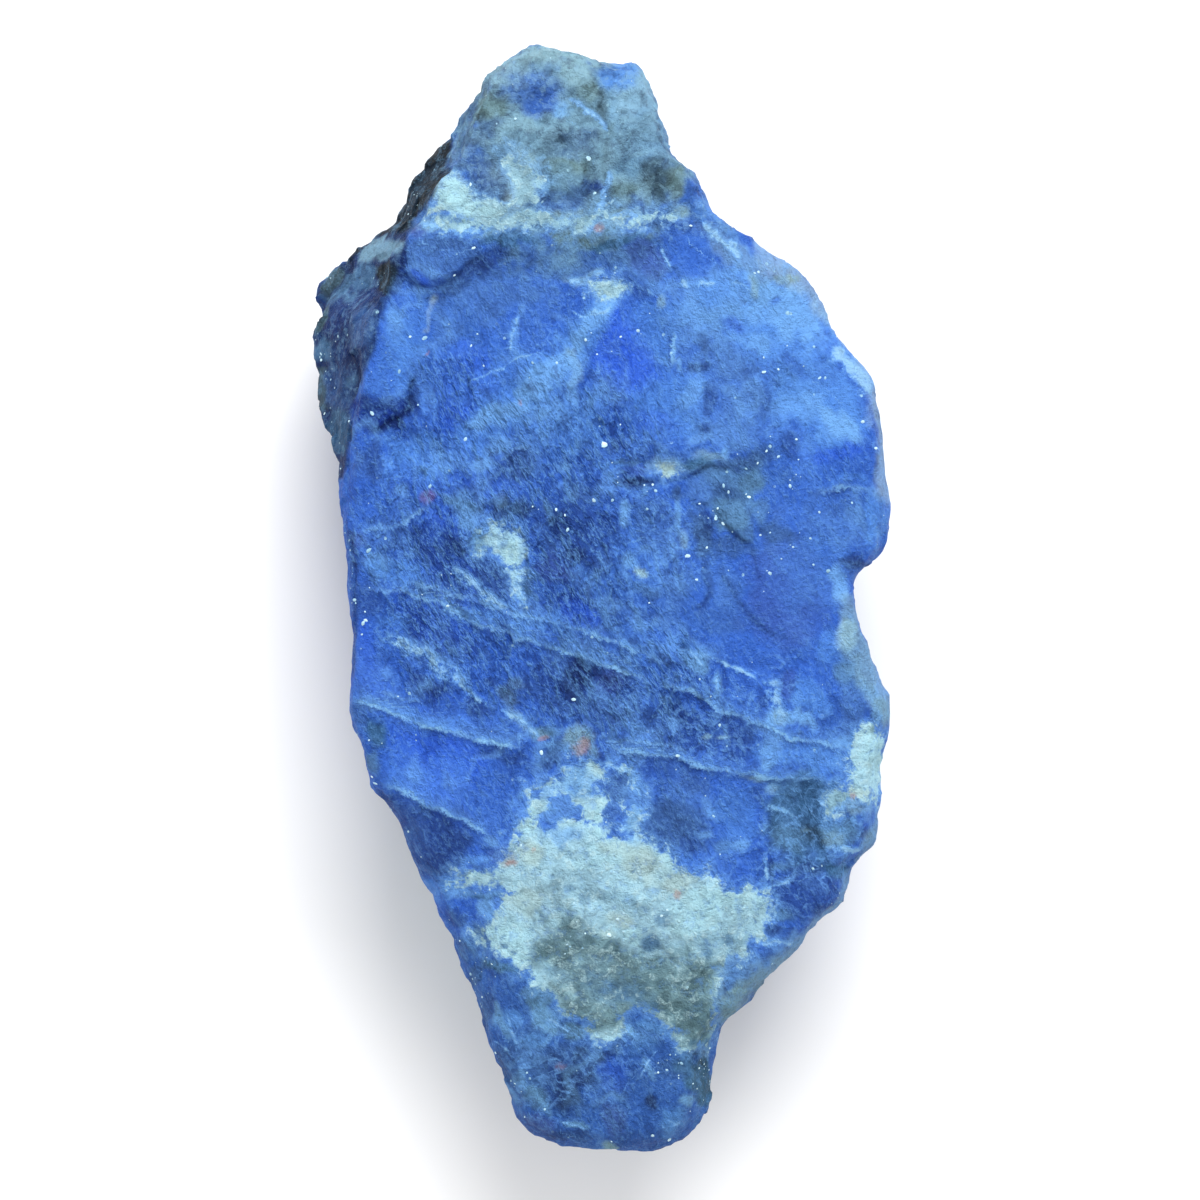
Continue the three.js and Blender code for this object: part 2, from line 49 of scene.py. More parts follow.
# ---- sizes of the surface ----------------------------------------------------------------------------------
GRID = 0.32                     # size of a mesh facet on the walls; half of this on the broad face
FACE_TILT = 0.30                # a facet whose normal rises this much belongs to the broad face or its flanks
FACE_FLOOR = 5.0                # and lies above this height
CALM_ROUNDS = (3, 1)            # smoothing rounds before and after the broad face is divided
SWELL = 0.10                    # puts back what the smoothing takes off
FLAT_SPOT_SKIN = 0.16           # what lies this close to the table is pressed flat onto it
DIP = (0.42, -0.55)             # the mineral sheets slant this far for each millimetre down the walls
DIP_START = 10.6                # below this height
BEND_SIZE = 7.0                 # and wander, in bends of this size
BEND = 0.35                     # by this share of the depth
STREAK_TURN = math.radians(28)  # the silky streaks lean this far from the stone's length

# ---- where one kind of surface passes into another ---------------------------------------------------------
FACE_RISE = (0.35, 0.8)         # the normal's rise, from a wall to the broad face
FACE_HEIGHT = (7, 9)            # and the height
WALL_RISE = (0.2, 0.7)          # the normal's rise, from full wall relief to none
WALL_RIM = (6.5, 10.5)          # heights over which the walls' relief gets low towards the outline
UNDERCUT = (-0.05, 0.25)        # the normal's rise, from walls where the sheets slant to where they don't
LOW_RIM = (9.5, 12.5)           # heights over which the face's lower rim ends
KNOB_START = (19.4, 20.6)       # places along the stone
TIP_START = (-17, -21.5)

# ---- sizes of the texture: across the streaks, along them, and into the stone ------------------------------
SILK_STROKE = (0.45, 1.4, 1.0)
FINE_STROKE = (0.32, 0.8, 0.6)
SPLINTER_SHAPE = (1.0, 2.2, 1.2)
SPLINTER_SIZE = 0.85            # and of the flat pieces that the surface broke into
GRANULE_SIZE = 0.75
FLANK_FACET_SIZE = 1.9
LARGE_WALL_FACET_SIZE = 3.6
SMALL_WALL_FACET_SIZE = 1.6
EDGE_WEAR = (0.26, 0.16)        # how far the coarse and the fine wear reach into an area's soft rim

# ---- heights of the relief ---------------------------------------------------------------------------------
LONG_WAVE = 0.08                # all over the stone
SHORT_WAVE = 0.04
SILK_HEIGHT = 0.05              # silky streaks and splinters on the broad face
SPLINTER_HEIGHT = 0.08
LUMP_HEIGHT = 0.10              # lumps and granules in the white mineral and the knob
GRANULE_HEIGHT = 0.07
KNOB_WAVE = 0.22
FLANK_FACET = 0.09              # facets of the dark flank
WALL_LUMP = 0.12                # lumps, facets and shelves of the walls
LARGE_WALL_FACET = 0.25
SMALL_WALL_FACET = 0.12
SHELF_HEIGHT = 0.22
STEP_HEIGHT = 0.05              # low steps across the broad face
VEIN_RIDGE = 0.03               # a vein stands out this much
VEIN_RIDGE_WIDTH = 0.20
STEP_SHARE = 0.6                # share of a vein's step that is really carved
BUMP_DEPTH = 0.24               # finest texture, in the material only

# ---- the minerals' colours, as seen in daylight ------------------------------------------------------------
# In the scene's light the blue mineral's colours and the white mineral's are multiplied by these shares.
BLUE_BALANCE = np.array((0.87, 0.865, 0.875))
PALE_BALANCE = np.array((0.87, 0.86, 0.82))
KNOB_BALANCE = np.array((1.12, 1.05, 0.93))     # the knob is this much greyer than the face
TIP_BALANCE = np.array((0.98, 0.93, 0.76))      # and so is the narrow end
# What the darkest spots of the blue, the painted shadow at a vein's foot and the darkest white are multiplied
# by.
BLUE_SHADE = (0.48, 0.47, 0.52, 1)
VEIN_SHADE = (0.40, 0.42, 0.46, 1)
PALE_SHADE = (0.42, 0.48, 0.52, 1)
SODALITE_IOR = 1.48
COLOURS = {
    "ink": (36, 64, 130), "navy": (48, 86, 168), "royal": (58, 110, 216), "cobalt": (52, 104, 236),
    "bright": (90, 152, 244), "sky": (124, 186, 255), "ice": (184, 234, 252), "steel": (76, 124, 204),
    "slate": (60, 98, 160), "smoke": (92, 140, 184), "ash": (142, 188, 214), "moss": (102, 138, 150),
    "olive": (90, 120, 126), "soot": (16, 32, 44), "cream": (184, 219, 224), "violet": (68, 100, 188),
    "teal": (60, 106, 148), "mist": (174, 222, 246), "rust": (190, 138, 124), "dusk": (26, 52, 106),
    "deep": (24, 58, 150), "crest": (148, 208, 255), "streak": (164, 216, 255),
    "frost": (206, 244, 255), "grain": (206, 240, 250),
}

# Soft-edged areas of the blue mineral, laid one over the other: colour, x, y, half width, half height, turn
# in degrees, strength.
AREAS = [
    # the broad tones of the face, with painted light on the strip along the left ridge and the upper right
    # bevel
    ("bright", -9.0, 7.7, 3.2, 1.5, 5, 0.85), ("bright", -10.8, 13.9, 1.3, 2.3, -12, 0.70),
    ("cobalt", -7.3, 11.6, 1.7, 2.4, 0, 0.9), ("steel", -6.0, 16.9, 3.4, 1.3, 0, 0.85),
    ("slate", -1.0, 18.6, 4.4, 0.9, 0, 0.7), ("cobalt", 1.3, 13.2, 1.7, 2.8, 0, 0.95),
    ("bright", 9.2, 15.4, 4.0, 2.4, -20, 0.95), ("sky", 10.2, 15.9, 2.8, 1.5, -25, 0.6),
    ("bright", 3.8, 10.6, 2.4, 1.9, 0, 0.7),
    ("steel", 7.0, 13.1, 1.7, 1.2, -30, 0.85), ("bright", 11.8, 10.6, 2.8, 1.9, -20, 0.95),
    ("sky", 11.4, 10.2, 2.0, 0.8, -15, 0.35),
    ("royal", 12.2, 7.2, 3.0, 1.4, 0, 0.8), ("violet", 10.4, 0.4, 2.8, 3.8, 0, 0.6),
    ("steel", 12.8, 4.2, 2.6, 1.4, 0, 0.6), ("navy", -1.4, 3.4, 2.6, 3.0, 0, 0.75),
    ("navy", -9.2, 3.3, 1.9, 1.4, 0, 0.85), ("navy", -8.4, -1.6, 2.2, 0.9, -15, 0.6),
    ("navy", -9.4, -4.6, 1.7, 0.9, -20, 0.9), ("navy", -2.6, -4.8, 3.0, 1.5, -10, 0.7),
    ("navy", 5.0, -7.2, 3.6, 1.1, -12, 0.75), ("bright", -9.3, -6.4, 2.4, 0.6, -12, 0.95),
    ("cobalt", -9.0, -9.3, 2.8, 2.0, -15, 0.7), ("bright", -9.4, -9.6, 2.4, 1.6, -15, 0.45),
    ("navy", -9.2, -13.2, 2.0, 2.0, 40, 1.0), ("slate", 4.0, -12.0, 1.7, 1.6, 0, 0.75),
    ("steel", 4.0, -11.6, 1.9, 1.9, 0, 0.35), ("smoke", 11.2, -12.4, 2.6, 3.0, 0, 0.55),
    ("bright", 7.0, -12.0, 1.3, 1.9, 0, 0.55), ("teal", 10.9, -12.2, 2.0, 2.4, 0, 0.75),
    ("navy", 11.6, -16.2, 2.2, 1.2, 30, 0.75), ("bright", 10.6, -8.6, 2.2, 0.9, -5, 0.6),
    ("steel", 14.0, -4.8, 1.2, 2.4, -10, 0.85), ("navy", -1.8, -26.2, 1.7, 2.0, 0, 0.9),
    ("steel", -4.2, -25.4, 1.3, 1.7, 0, 0.7), ("royal", 2.4, -26.6, 2.2, 2.6, 0, 0.6),
    ("sky", 6.2, 16.4, 2.6, 2.0, -20, 0.5), ("ash", 7.6, 18.7, 2.6, 0.8, -38, 0.5),
    ("bright", 3.6, 15.4, 1.7, 1.4, 0, 0.6), ("bright", -1.8, 10.2, 2.6, 1.6, 30, 0.5),
    ("sky", 7.2, 9.2, 2.4, 1.0, 0, 0.35), ("smoke", 5.6, 7.2, 2.4, 1.0, -5, 0.3),
    ("navy", -7.6, 1.2, 2.8, 1.9, -15, 0.75), ("navy", -9.6, -2.2, 1.9, 1.2, -15, 0.75),
    ("navy", -0.8, -0.4, 2.6, 1.4, 0, 0.65), ("navy", 0.2, -5.2, 2.2, 2.2, 0, 0.75),
    ("navy", 3.4, -9.3, 1.9, 0.9, 0, 0.5), ("navy", 3.4, -0.6, 1.6, 1.2, 0, 0.35),
    ("soot", 10.4, -12.2, 1.9, 2.0, 0, 0.25), ("ash", 6.9, -21.0, 1.1, 1.6, 0, 0.7),
    ("slate", -8.9, 18.4, 2.2, 1.4, 0, 0.35), ("sky", 6.0, 15.4, 2.4, 1.8, 0, 0.45),
    ("sky", 3.2, 18.0, 1.5, 1.2, 0, 0.45), ("sky", 8.6, 11.6, 4.6, 3.8, 0, 0.15),
    ("cobalt", -8.0, 8.0, 3.6, 5.4, 0, 0.35), ("bright", -6.4, 12.2, 2.6, 1.8, 0, 0.45),
    ("bright", -2.8, 9.6, 2.0, 1.8, 0, 0.45), ("cobalt", -9.2, -7.0, 3.0, 2.4, -15, 0.4),
    ("cobalt", -9.4, -11.6, 2.2, 2.4, 0, 0.3), ("cobalt", -8.6, 0.0, 3.0, 2.8, 0, 0.4),
    ("bright", 12.4, -8.8, 1.6, 1.4, 0, 0.4), ("bright", 11.8, 1.4, 2.0, 2.6, 0, 0.35),
    ("sky", 9.4, -20.0, 1.8, 1.8, 0, 0.35), ("bright", 6.4, -27.0, 1.4, 1.2, 0, 0.5),
    ("navy", 0.4, -26.4, 1.8, 1.6, 0, 0.25), ("smoke", -6.7, 3.3, 0.7, 0.8, 0, 0.9),
    ("sky", -6.9, 4.3, 1.0, 0.8, -30, 0.4),
    # the knob
    ("smoke", -1.6, 24.9, 7.6, 6.6, 0, 1.0), ("ash", -1.4, 25.0, 6.6, 6.0, 0, 0.35),
    ("ash", -4.7, 29.4, 1.8, 0.8, 30, 0.8),
    ("ash", -2.8, 30.1, 0.9, 0.5, 0, 0.9), ("steel", -3.9, 28.0, 1.9, 1.1, 0, 0.8),
    ("royal", -3.1, 27.3, 1.0, 0.7, 0, 0.7), ("sky", -2.1, 26.9, 0.5, 0.5, 0, 0.8),
    ("moss", -6.0, 27.2, 1.2, 1.1, 0, 0.9), ("ash", -1.3, 28.8, 1.0, 1.1, 0, 0.8),
    ("moss", -0.7, 27.8, 0.8, 0.6, 0, 0.8), ("bright", 1.0, 28.8, 1.0, 0.9, 0, 1.0),
    ("ash", 1.8, 27.2, 0.8, 1.0, 0, 0.9), ("soot", 0.2, 27.2, 0.4, 0.8, -10, 0.7),
    ("ash", -4.6, 25.9, 1.5, 0.6, 10, 0.5), ("moss", 1.8, 25.6, 1.5, 0.9, 0, 0.8),
    ("soot", -0.3, 25.2, 0.6, 0.4, 0, 0.7), ("soot", -2.4, 25.4, 0.7, 0.4, 20, 0.6),
    ("slate", -1.4, 25.0, 1.6, 0.9, 0, 0.5), ("moss", -1.8, 23.7, 1.3, 0.6, 0, 1.0),
    ("steel", -7.0, 24.5, 1.2, 0.7, 0, 1.0), ("slate", -6.3, 25.7, 1.4, 0.6, 20, 0.6),
    ("royal", -6.2, 23.2, 1.3, 0.9, -20, 1.0), ("slate", -5.4, 21.9, 0.8, 0.4, -15, 0.8),
    ("ash", -4.5, 23.4, 1.2, 1.0, 0, 1.0), ("cream", -4.2, 22.3, 0.9, 0.7, 15, 0.8),
    ("mist", -8.2, 22.3, 0.8, 1.0, 10, 1.0), ("mist", -6.4, 21.3, 1.9, 0.5, -10, 1.0),
    ("navy", -0.8, 22.4, 1.1, 0.5, 5, 1.0), ("steel", -2.0, 21.6, 1.2, 0.8, 0, 0.9),
    ("soot", 2.9, 23.3, 0.6, 1.1, 5, 0.35), ("moss", 1.3, 22.2, 1.0, 0.6, 0, 0.7),
    ("smoke", 1.5, 23.8, 0.9, 0.7, 0, 0.8), ("moss", 4.2, 22.5, 0.6, 1.0, 0, 0.9),
    ("moss", -8.3, 20.9, 0.7, 0.25, -5, 0.8), ("moss", -3.2, 20.7, 0.7, 0.5, 0, 0.6),
    ("ash", -4.5, 21.0, 1.0, 0.6, 0, 0.9),
    ("ash", -9.2, 20.4, 0.8, 0.3, -15, 0.9), ("sky", -5.9, 20.4, 0.8, 0.4, 0, 0.6),
    ("ash", -1.5, 20.7, 1.5, 0.5, 0, 0.8), ("ash", 1.3, 21.0, 1.1, 0.4, 0, 1.0),
    ("ash", 2.6, 27.8, 1.0, 2.0, 0, 0.6), ("ash", -1.6, 30.1, 2.4, 0.8, 0, 0.6),
    ("ash", -5.0, 23.0, 1.6, 1.8, 0, 0.4), ("smoke", -2.0, 22.8, 1.4, 1.2, 0, 0.5),
    ("navy", 3.1, 21.0, 0.8, 0.5, 0, 0.9), ("ash", 4.6, 21.1, 0.4, 0.4, 0, 1.0),
    ("moss", -2.4, 19.95, 6.6, 0.25, -2, 0.8), ("teal", -5.4, 19.4, 2.2, 0.4, 0, 0.8),
    ("teal", 1.4, 19.5, 1.9, 0.4, 0, 0.9), ("sky", 2.4, 26.4, 1.8, 2.6, 0, 0.35),
    # the lip at the knob's left end, the strip below it with painted light, and painted shade in the notch
    # below it
    ("steel", -8.7, 18.9, 1.7, 0.8, -5, 0.95), ("slate", -8.4, 19.5, 1.6, 0.3, 0, 0.7),
    ("violet", -9.9, 20.1, 0.5, 0.4, 0, 1.0), ("ink", -10.9, 18.2, 0.5, 1.2, -18, 1.0),
    ("cobalt", -9.6, 17.7, 1.4, 0.5, -10, 0.9), ("navy", -8.2, 17.8, 1.2, 0.4, 15, 0.7),
    ("navy", -6.4, 18.3, 0.9, 0.5, 10, 0.8), ("sky", -11.0, 15.4, 0.6, 1.5, -14, 0.4),
    ("deep", -11.7, 10.4, 1.5, 0.7, 8, 1.0), ("deep", -12.7, 9.6, 0.5, 0.5, 0, 1.0),
    ("navy", -12.5, 7.4, 0.7, 1.4, 0, 0.9), ("cream", -9.1, 16.6, 0.25, 0.35, 0, 0.5),
    ("royal", -11.0, 16.5, 0.9, 0.7, 0, 0.9),
    ("steel", -9.9, 12.0, 0.5, 1.6, 0, 0.6), ("steel", -8.4, 15.0, 0.8, 1.6, 0, 0.7),
    # the upper left of the face
    ("sky", -8.6, 7.4, 1.4, 0.6, 0, 0.4), ("sky", -6.4, 7.4, 0.6, 0.5, 30, 0.8),
    ("sky", -5.6, 8.6, 0.8, 0.5, 20, 0.7), ("bright", -10.2, 8.6, 1.2, 0.7, 20, 0.6),
    ("sky", -10.7, 5.9, 0.5, 0.4, 30, 0.6), ("rust", -9.4, 5.6, 0.5, 0.35, 10, 0.3),
    ("navy", -4.4, 7.4, 1.2, 0.7, 15, 0.85), ("sky", -1.8, 7.4, 0.5, 0.25, 15, 0.7),
    ("bright", 0.6, 7.5, 1.0, 0.3, 0, 0.6), ("navy", 0.9, 8.5, 0.9, 0.4, 0, 0.8),
    ("cobalt", -7.0, 13.2, 1.0, 1.0, 0, 0.5), ("ash", -3.8, 11.4, 0.7, 0.45, 40, 0.8),
    ("sky", -1.6, 13.6, 1.0, 1.0, 0, 0.75), ("sky", -2.2, -11.4, 1.3, 1.0, 0, 0.45),
    ("moss", -3.8, 10.2, 0.9, 0.6, 0, 0.35), ("ice", 0.4, 16.9, 0.8, 0.5, 10, 0.9),
    ("ash", 0.1, 16.1, 0.5, 0.4, 0, 0.6), ("slate", 0.1, 16.3, 0.25, 0.2, 0, 0.6),
    ("ash", -1.2, 17.6, 0.8, 0.3, 0, 0.7), ("ash", -0.2, 17.9, 0.6, 0.2, 20, 0.6),
    ("navy", 2.0, 17.1, 0.8, 0.7, -20, 0.7), ("ash", 3.35, 16.4, 0.25, 0.5, 0, 0.7),
    ("violet", 2.7, 18.7, 0.8, 0.9, 15, 0.8), ("slate", 2.3, 18.9, 0.5, 0.6, 0, 0.4),
    ("bright", 4.9, 19.0, 1.3, 1.6, 0, 0.6), ("bright", 6.6, 20.6, 1.6, 0.7, -40, 0.7),
    ("navy", 0.4, 11.4, 0.5, 0.9, 0, 0.4), ("bright", 3.4, 13.6, 0.6, 1.2, 0, 0.7),
    # the upper right, where the bevel along the edge is painted lighter as it faces the light
    ("sky", 9.4, 16.8, 1.9, 0.7, -12, 0.9), ("sky", 10.6, 15.2, 1.2, 1.3, -20, 0.6),
    ("sky", 8.9, 14.0, 0.9, 0.5, 0, 0.6), ("bright", 6.2, 16.6, 0.9, 0.9, 0, 0.7),
    ("royal", 9.6, 16.4, 0.4, 0.3, 0, 0.6), ("ash", 8.2, 17.1, 0.3, 0.7, 0, 0.8),
    ("moss", 10.2, 17.7, 0.9, 0.3, -15, 0.9), ("steel", 10.0, 18.3, 1.0, 0.3, -20, 0.8),
    ("cobalt", 7.4, 15.0, 0.7, 0.4, -25, 0.6), ("slate", 5.8, 13.9, 0.4, 0.8, 10, 0.6),
    ("ink", 5.3, 12.6, 0.7, 0.3, 0, 0.8), ("sky", 4.3, 13.0, 0.2, 0.5, 0, 0.7),
    ("navy", 6.2, 10.9, 0.4, 0.8, 0, 0.85), ("navy", 5.8, 9.4, 0.4, 0.3, 0, 0.8),
    ("navy", 8.7, 11.4, 0.5, 1.5, 25, 0.7), ("navy", 8.4, 12.7, 0.6, 0.3, 0, 0.6),
    ("steel", 7.5, 10.9, 0.7, 0.9, 0, 0.7), ("sky", 4.9, 11.2, 0.9, 0.6, 10, 0.5),
    ("sky", 13.2, 9.6, 1.3, 0.5, -35, 0.9), ("sky", 11.9, 10.8, 0.8, 0.5, -30, 0.5),
    ("cobalt", 12.4, 8.3, 2.0, 0.5, 0, 0.7), ("navy", 10.4, 8.4, 0.5, 0.7, 0, 0.7),
    ("cobalt", 3.0, 9.6, 1.1, 0.5, 0, 0.5), ("sky", 5.2, 8.7, 0.9, 0.3, 0, 0.5),
    ("sky", 6.8, 8.0, 0.3, 0.4, 0, 0.9), ("ink", 15.1, 7.4, 0.25, 0.8, 0, 0.6),
    # the second here: painted shade in the notch on the right edge, under the lobe
    ("bright", 15.0, 4.6, 0.5, 1.6, 0, 0.7), ("ink", 13.9, 2.0, 0.7, 0.3, 0, 1.0),
    ("navy", 12.6, 6.0, 1.1, 0.2, 0, 0.7), ("bright", 13.8, 6.5, 1.2, 0.25, 0, 0.5),
    # the middle
    ("violet", 2.4, 7.1, 1.1, 0.4, -5, 0.7), ("ink", 2.1, 6.4, 1.0, 0.35, -5, 1.0),
    ("navy", 1.6, 7.0, 0.5, 0.3, 0, 0.8), ("smoke", 1.8, 7.6, 1.2, 0.12, -6, 0.6),
    ("teal", 5.4, 7.3, 0.9, 0.4, 0, 1.0), ("ash", 3.9, 7.2, 1.1, 0.5, -6, 0.6),
    ("cream", 3.8, 7.2, 0.6, 0.35, -6, 0.7), ("ice", 3.7, 7.25, 0.25, 0.15, -6, 0.8),
    ("smoke", 7.6, 6.3, 2.2, 1.4, 0, 0.7),
    ("slate", 7.0, 6.0, 0.8, 0.5, 0, 0.8), ("smoke", 8.6, 6.5, 0.7, 1.0, 0, 0.9),
    ("slate", 7.6, 7.6, 1.4, 0.4, 0, 0.6), ("ash", 6.1, 7.8, 0.9, 0.3, -8, 0.7),
    ("slate", 4.3, 5.8, 0.4, 0.5, 0, 0.9), ("steel", 5.5, 6.0, 0.6, 0.6, 0, 0.9),
    ("slate", 5.6, 3.4, 0.7, 1.3, 10, 1.0), ("ink", 5.9, 4.4, 0.4, 0.5, 0, 0.6),
    ("smoke", 7.3, 4.6, 1.2, 1.1, 15, 1.0), ("sky", 7.4, 4.7, 0.9, 0.8, 15, 0.5),
    ("smoke", 8.9, 4.6, 0.6, 0.7, 0, 0.6),
    ("slate", 7.0, 2.6, 1.2, 0.9, 0, 0.7), ("slate", 9.5, 3.6, 1.2, 0.7, 0, 0.8),
    ("sky", 4.3, 4.4, 0.25, 1.1, -8, 0.8), ("ash", 4.5, 3.3, 0.3, 0.5, 0, 0.7),
    ("sky", 1.3, 4.6, 0.4, 0.8, 0, 0.9), ("steel", 3.0, 4.2, 1.2, 1.8, 0, 0.7),
    ("sky", 1.8, 1.8, 0.9, 0.4, -30, 0.7), ("ice", 2.3, 1.4, 0.4, 0.25, -30, 0.9),
    ("smoke", 2.6, 0.5, 0.8, 0.4, -20, 0.5), ("steel", 3.9, 0.6, 1.0, 1.4, 0, 0.6),
    ("slate", 6.7, -1.2, 1.6, 1.1, 0, 0.40), ("steel", 7.1, 0.6, 0.9, 1.0, 0, 0.6),
    ("cobalt", -1.0, -0.8, 1.7, 0.9, -15, 0.8), ("sky", -1.6, 5.6, 0.4, 0.4, 0, 0.6),
    ("slate", -4.8, 4.9, 1.3, 1.0, 0, 0.9), ("moss", -5.6, 5.4, 0.6, 0.6, 0, 0.5),
    ("ink", -5.7, 4.7, 0.3, 0.5, 20, 0.7), ("ink", -4.2, 4.9, 0.4, 0.9, 10, 0.6),
    ("slate", -7.4, 5.5, 1.1, 0.5, 0, 0.5), ("smoke", -7.6, 5.2, 0.9, 0.4, -20, 0.7),
    ("sky", -7.4, 4.4, 0.5, 0.8, 35, 0.7), ("cobalt", -8.9, 4.6, 0.7, 0.5, 0, 0.7),
    ("violet", -2.6, 1.9, 1.2, 0.8, 0, 0.7), ("ink", -1.3, 2.7, 0.6, 0.5, 0, 0.8),
    ("ink", -2.2, 4.2, 0.5, 1.0, 12, 0.5), ("slate", -3.9, 0.6, 0.4, 1.0, 0, 0.7),
    ("navy", -5.9, 1.2, 0.9, 0.9, 0, 0.9), ("ink", -8.0, 3.0, 0.8, 0.6, -25, 0.5),
    ("sky", -12.0, 2.0, 0.9, 0.6, -10, 0.7), ("bright", -11.2, 1.4, 1.8, 0.7, -10, 0.7),
    ("violet", -13.1, 3.4, 0.5, 0.6, 0, 0.8), ("navy", -12.8, -0.2, 0.7, 0.9, 0, 0.8),
    ("navy", -12.9, -3.4, 0.6, 1.8, 0, 0.5), ("bright", -6.4, -0.8, 1.9, 0.35, -8, 0.8),
    ("bright", -3.0, -1.5, 2.4, 0.4, -12, 0.7), ("bright", -11.4, -1.3, 0.9, 0.4, -25, 0.5),
    ("sky", 5.3, -3.4, 0.8, 0.7, -15, 0.8), ("smoke", 5.5, -3.6, 0.5, 0.4, 0, 0.6),
    ("sky", 6.4, -4.5, 0.25, 0.7, 0, 0.8), ("bright", 4.4, -2.6, 1.2, 0.4, -20, 0.6),
    ("ink", -1.3, -4.4, 0.9, 1.0, 0, 0.95), ("violet", 0.6, -4.5, 0.8, 0.8, 0, 0.8),
    ("moss", -5.2, -5.2, 0.45, 0.8, 25, 0.5), ("moss", -4.6, -4.5, 0.5, 0.35, -20, 0.4),
    ("ink", -5.9, -4.4, 0.4, 0.3, 0, 0.7),
    ("ink", -9.6, -4.5, 1.1, 0.5, -15, 0.6), ("navy", -6.6, -6.0, 0.8, 0.6, -20, 0.9),
    ("ash", -4.4, -6.6, 0.9, 0.25, -38, 0.6), ("smoke", -3.0, -7.3, 0.9, 0.5, 0, 0.9),
    ("ash", -3.2, -7.4, 0.6, 0.3, 0, 0.5), ("smoke", -2.2, -8.2, 0.9, 0.4, 0, 0.6),
    ("ash", -1.1, -7.8, 0.95, 0.95, 0, 0.9), ("slate", -2.8, -8.9, 0.8, 0.5, 20, 0.8),
    ("teal", -12.4, -7.1, 0.5, 0.9, 15, 0.9), ("slate", -13.2, -6.2, 0.4, 1.0, 10, 0.6),
    ("navy", -5.6, -8.6, 1.5, 0.4, -5, 0.8), ("navy", -5.2, -9.4, 0.9, 0.5, 0, 0.4),
    ("smoke", -12.4, -8.8, 0.4, 0.7, 20, 0.7),
    # the right side below the notch
    ("sky", 13.3, 0.6, 0.5, 1.3, 0, 0.8), ("ice", 13.6, -2.0, 0.7, 0.8, -15, 0.9),
    ("bright", 12.8, -2.6, 0.6, 1.0, 0, 0.6), ("bright", 11.6, -5.4, 1.0, 0.8, -10, 0.7),
    ("smoke", 13.4, -3.9, 0.6, 0.6, 0, 0.7), ("smoke", 15.2, -6.2, 0.5, 0.9, 0, 0.9),
    ("ash", 14.9, -5.4, 0.4, 0.8, 0, 0.6), ("sky", 10.4, -6.5, 1.5, 0.6, -15, 0.9),
    ("ash", 9.9, -6.5, 0.5, 0.5, 0, 0.9), ("sky", 13.4, -7.6, 0.7, 0.5, 0, 0.6),
    ("violet", 10.4, -4.8, 0.5, 0.7, 0, 0.6), ("ink", 8.8, -5.4, 0.4, 0.5, 0, 0.5),
    ("navy", 7.8, -7.3, 0.9, 0.6, 0, 0.9), ("ash", 5.9, -7.5, 0.3, 0.15, 0, 0.8),
    ("ash", 6.7, -7.5, 0.35, 0.15, 0, 0.9), ("sky", 4.1, -7.0, 0.3, 0.6, 20, 0.5),
    ("bright", 9.4, -8.5, 1.0, 0.6, 0, 0.4), ("sky", 9.1, -9.1, 0.4, 0.5, 0, 0.7),
    ("ash", 8.5, -9.8, 0.8, 0.25, -10, 0.8), ("bright", 12.6, -8.9, 1.4, 0.7, 0, 0.5),
    # beside the white lace
    ("ink", 0.9, -10.1, 0.6, 0.8, -10, 1.0), ("royal", 0.6, -12.0, 0.4, 1.0, 0, 0.9),
    ("sky", 2.0, -10.9, 0.6, 1.6, 8, 0.35), ("navy", 5.0, -10.0, 0.9, 0.6, 0, 0.8),
    ("ink", 3.0, -13.2, 0.5, 0.4, 0, 0.5), ("navy", 5.0, -13.2, 0.8, 0.5, 0, 0.6),
    ("royal", 5.2, -14.4, 1.1, 0.5, -20, 0.9), ("bright", 5.0, -14.3, 0.8, 0.3, -20, 0.4),
    ("sky", 5.9, -11.2, 0.4, 0.7, 20, 0.45), ("sky", 5.6, -12.7, 0.5, 0.3, 0, 0.6),
    ("sky", 7.5, -13.4, 0.5, 0.4, 20, 0.7), ("smoke", 6.4, -13.4, 0.6, 0.5, 0, 0.5),
    ("navy", 8.6, -10.6, 0.6, 0.5, 0, 0.5), ("ash", 9.4, -10.4, 0.4, 0.2, 0, 0.5),
    ("royal", 7.6, -15.0, 1.2, 0.9, 0, 1.0), ("sky", 9.0, -15.1, 0.25, 0.9, 0, 0.9),
    ("ink", 9.45, -15.0, 0.2, 1.2, 3, 0.6), ("soot", 11.7, -12.9, 0.8, 0.4, -25, 0.9),
    ("ink", 11.5, -10.8, 0.8, 0.8, 0, 0.45), ("smoke", 10.2, -13.2, 0.9, 0.7, 0, 0.8),
    ("ash", 11.2, -12.6, 0.25, 0.15, 0, 0.8), ("smoke", 13.0, -12.9, 1.0, 0.7, 0, 0.9),
    ("ash", 12.8, -13.1, 0.7, 0.4, 0, 0.6),
    ("ash", 13.6, -11.4, 1.4, 0.4, -10, 0.7), ("ink", 13.1, -11.8, 0.4, 0.25, 0, 0.9),
    ("ink", 14.4, -11.3, 0.4, 0.2, 0, 0.6), ("ink", 14.6, -12.9, 0.6, 0.5, 0, 0.9),
    ("teal", 13.0, -14.6, 0.9, 0.5, 0, 0.9), ("ink", 11.4, -14.7, 0.8, 0.4, 0, 0.8),
    ("smoke", 9.9, -14.7, 0.5, 0.3, 10, 0.6), ("sky", 10.3, -15.4, 0.8, 0.15, 25, 0.6),
    ("smoke", 9.8, -17.4, 0.8, 0.5, 0, 0.8), ("ink", 9.5, -18.3, 0.9, 0.3, 0, 0.7),
    ("sky", 10.8, -18.5, 0.5, 0.4, 30, 0.6), ("royal", 8.9, -19.3, 0.7, 0.4, 0, 0.9),
    ("bright", -8.6, -15.9, 0.9, 0.7, -30, 0.8), ("sky", -7.4, -16.0, 0.9, 0.3, 0, 0.5),
    ("sky", -6.3, -16.9, 0.5, 0.7, 0, 0.9), ("teal", -6.2, -16.1, 1.0, 0.18, 0, 0.8),
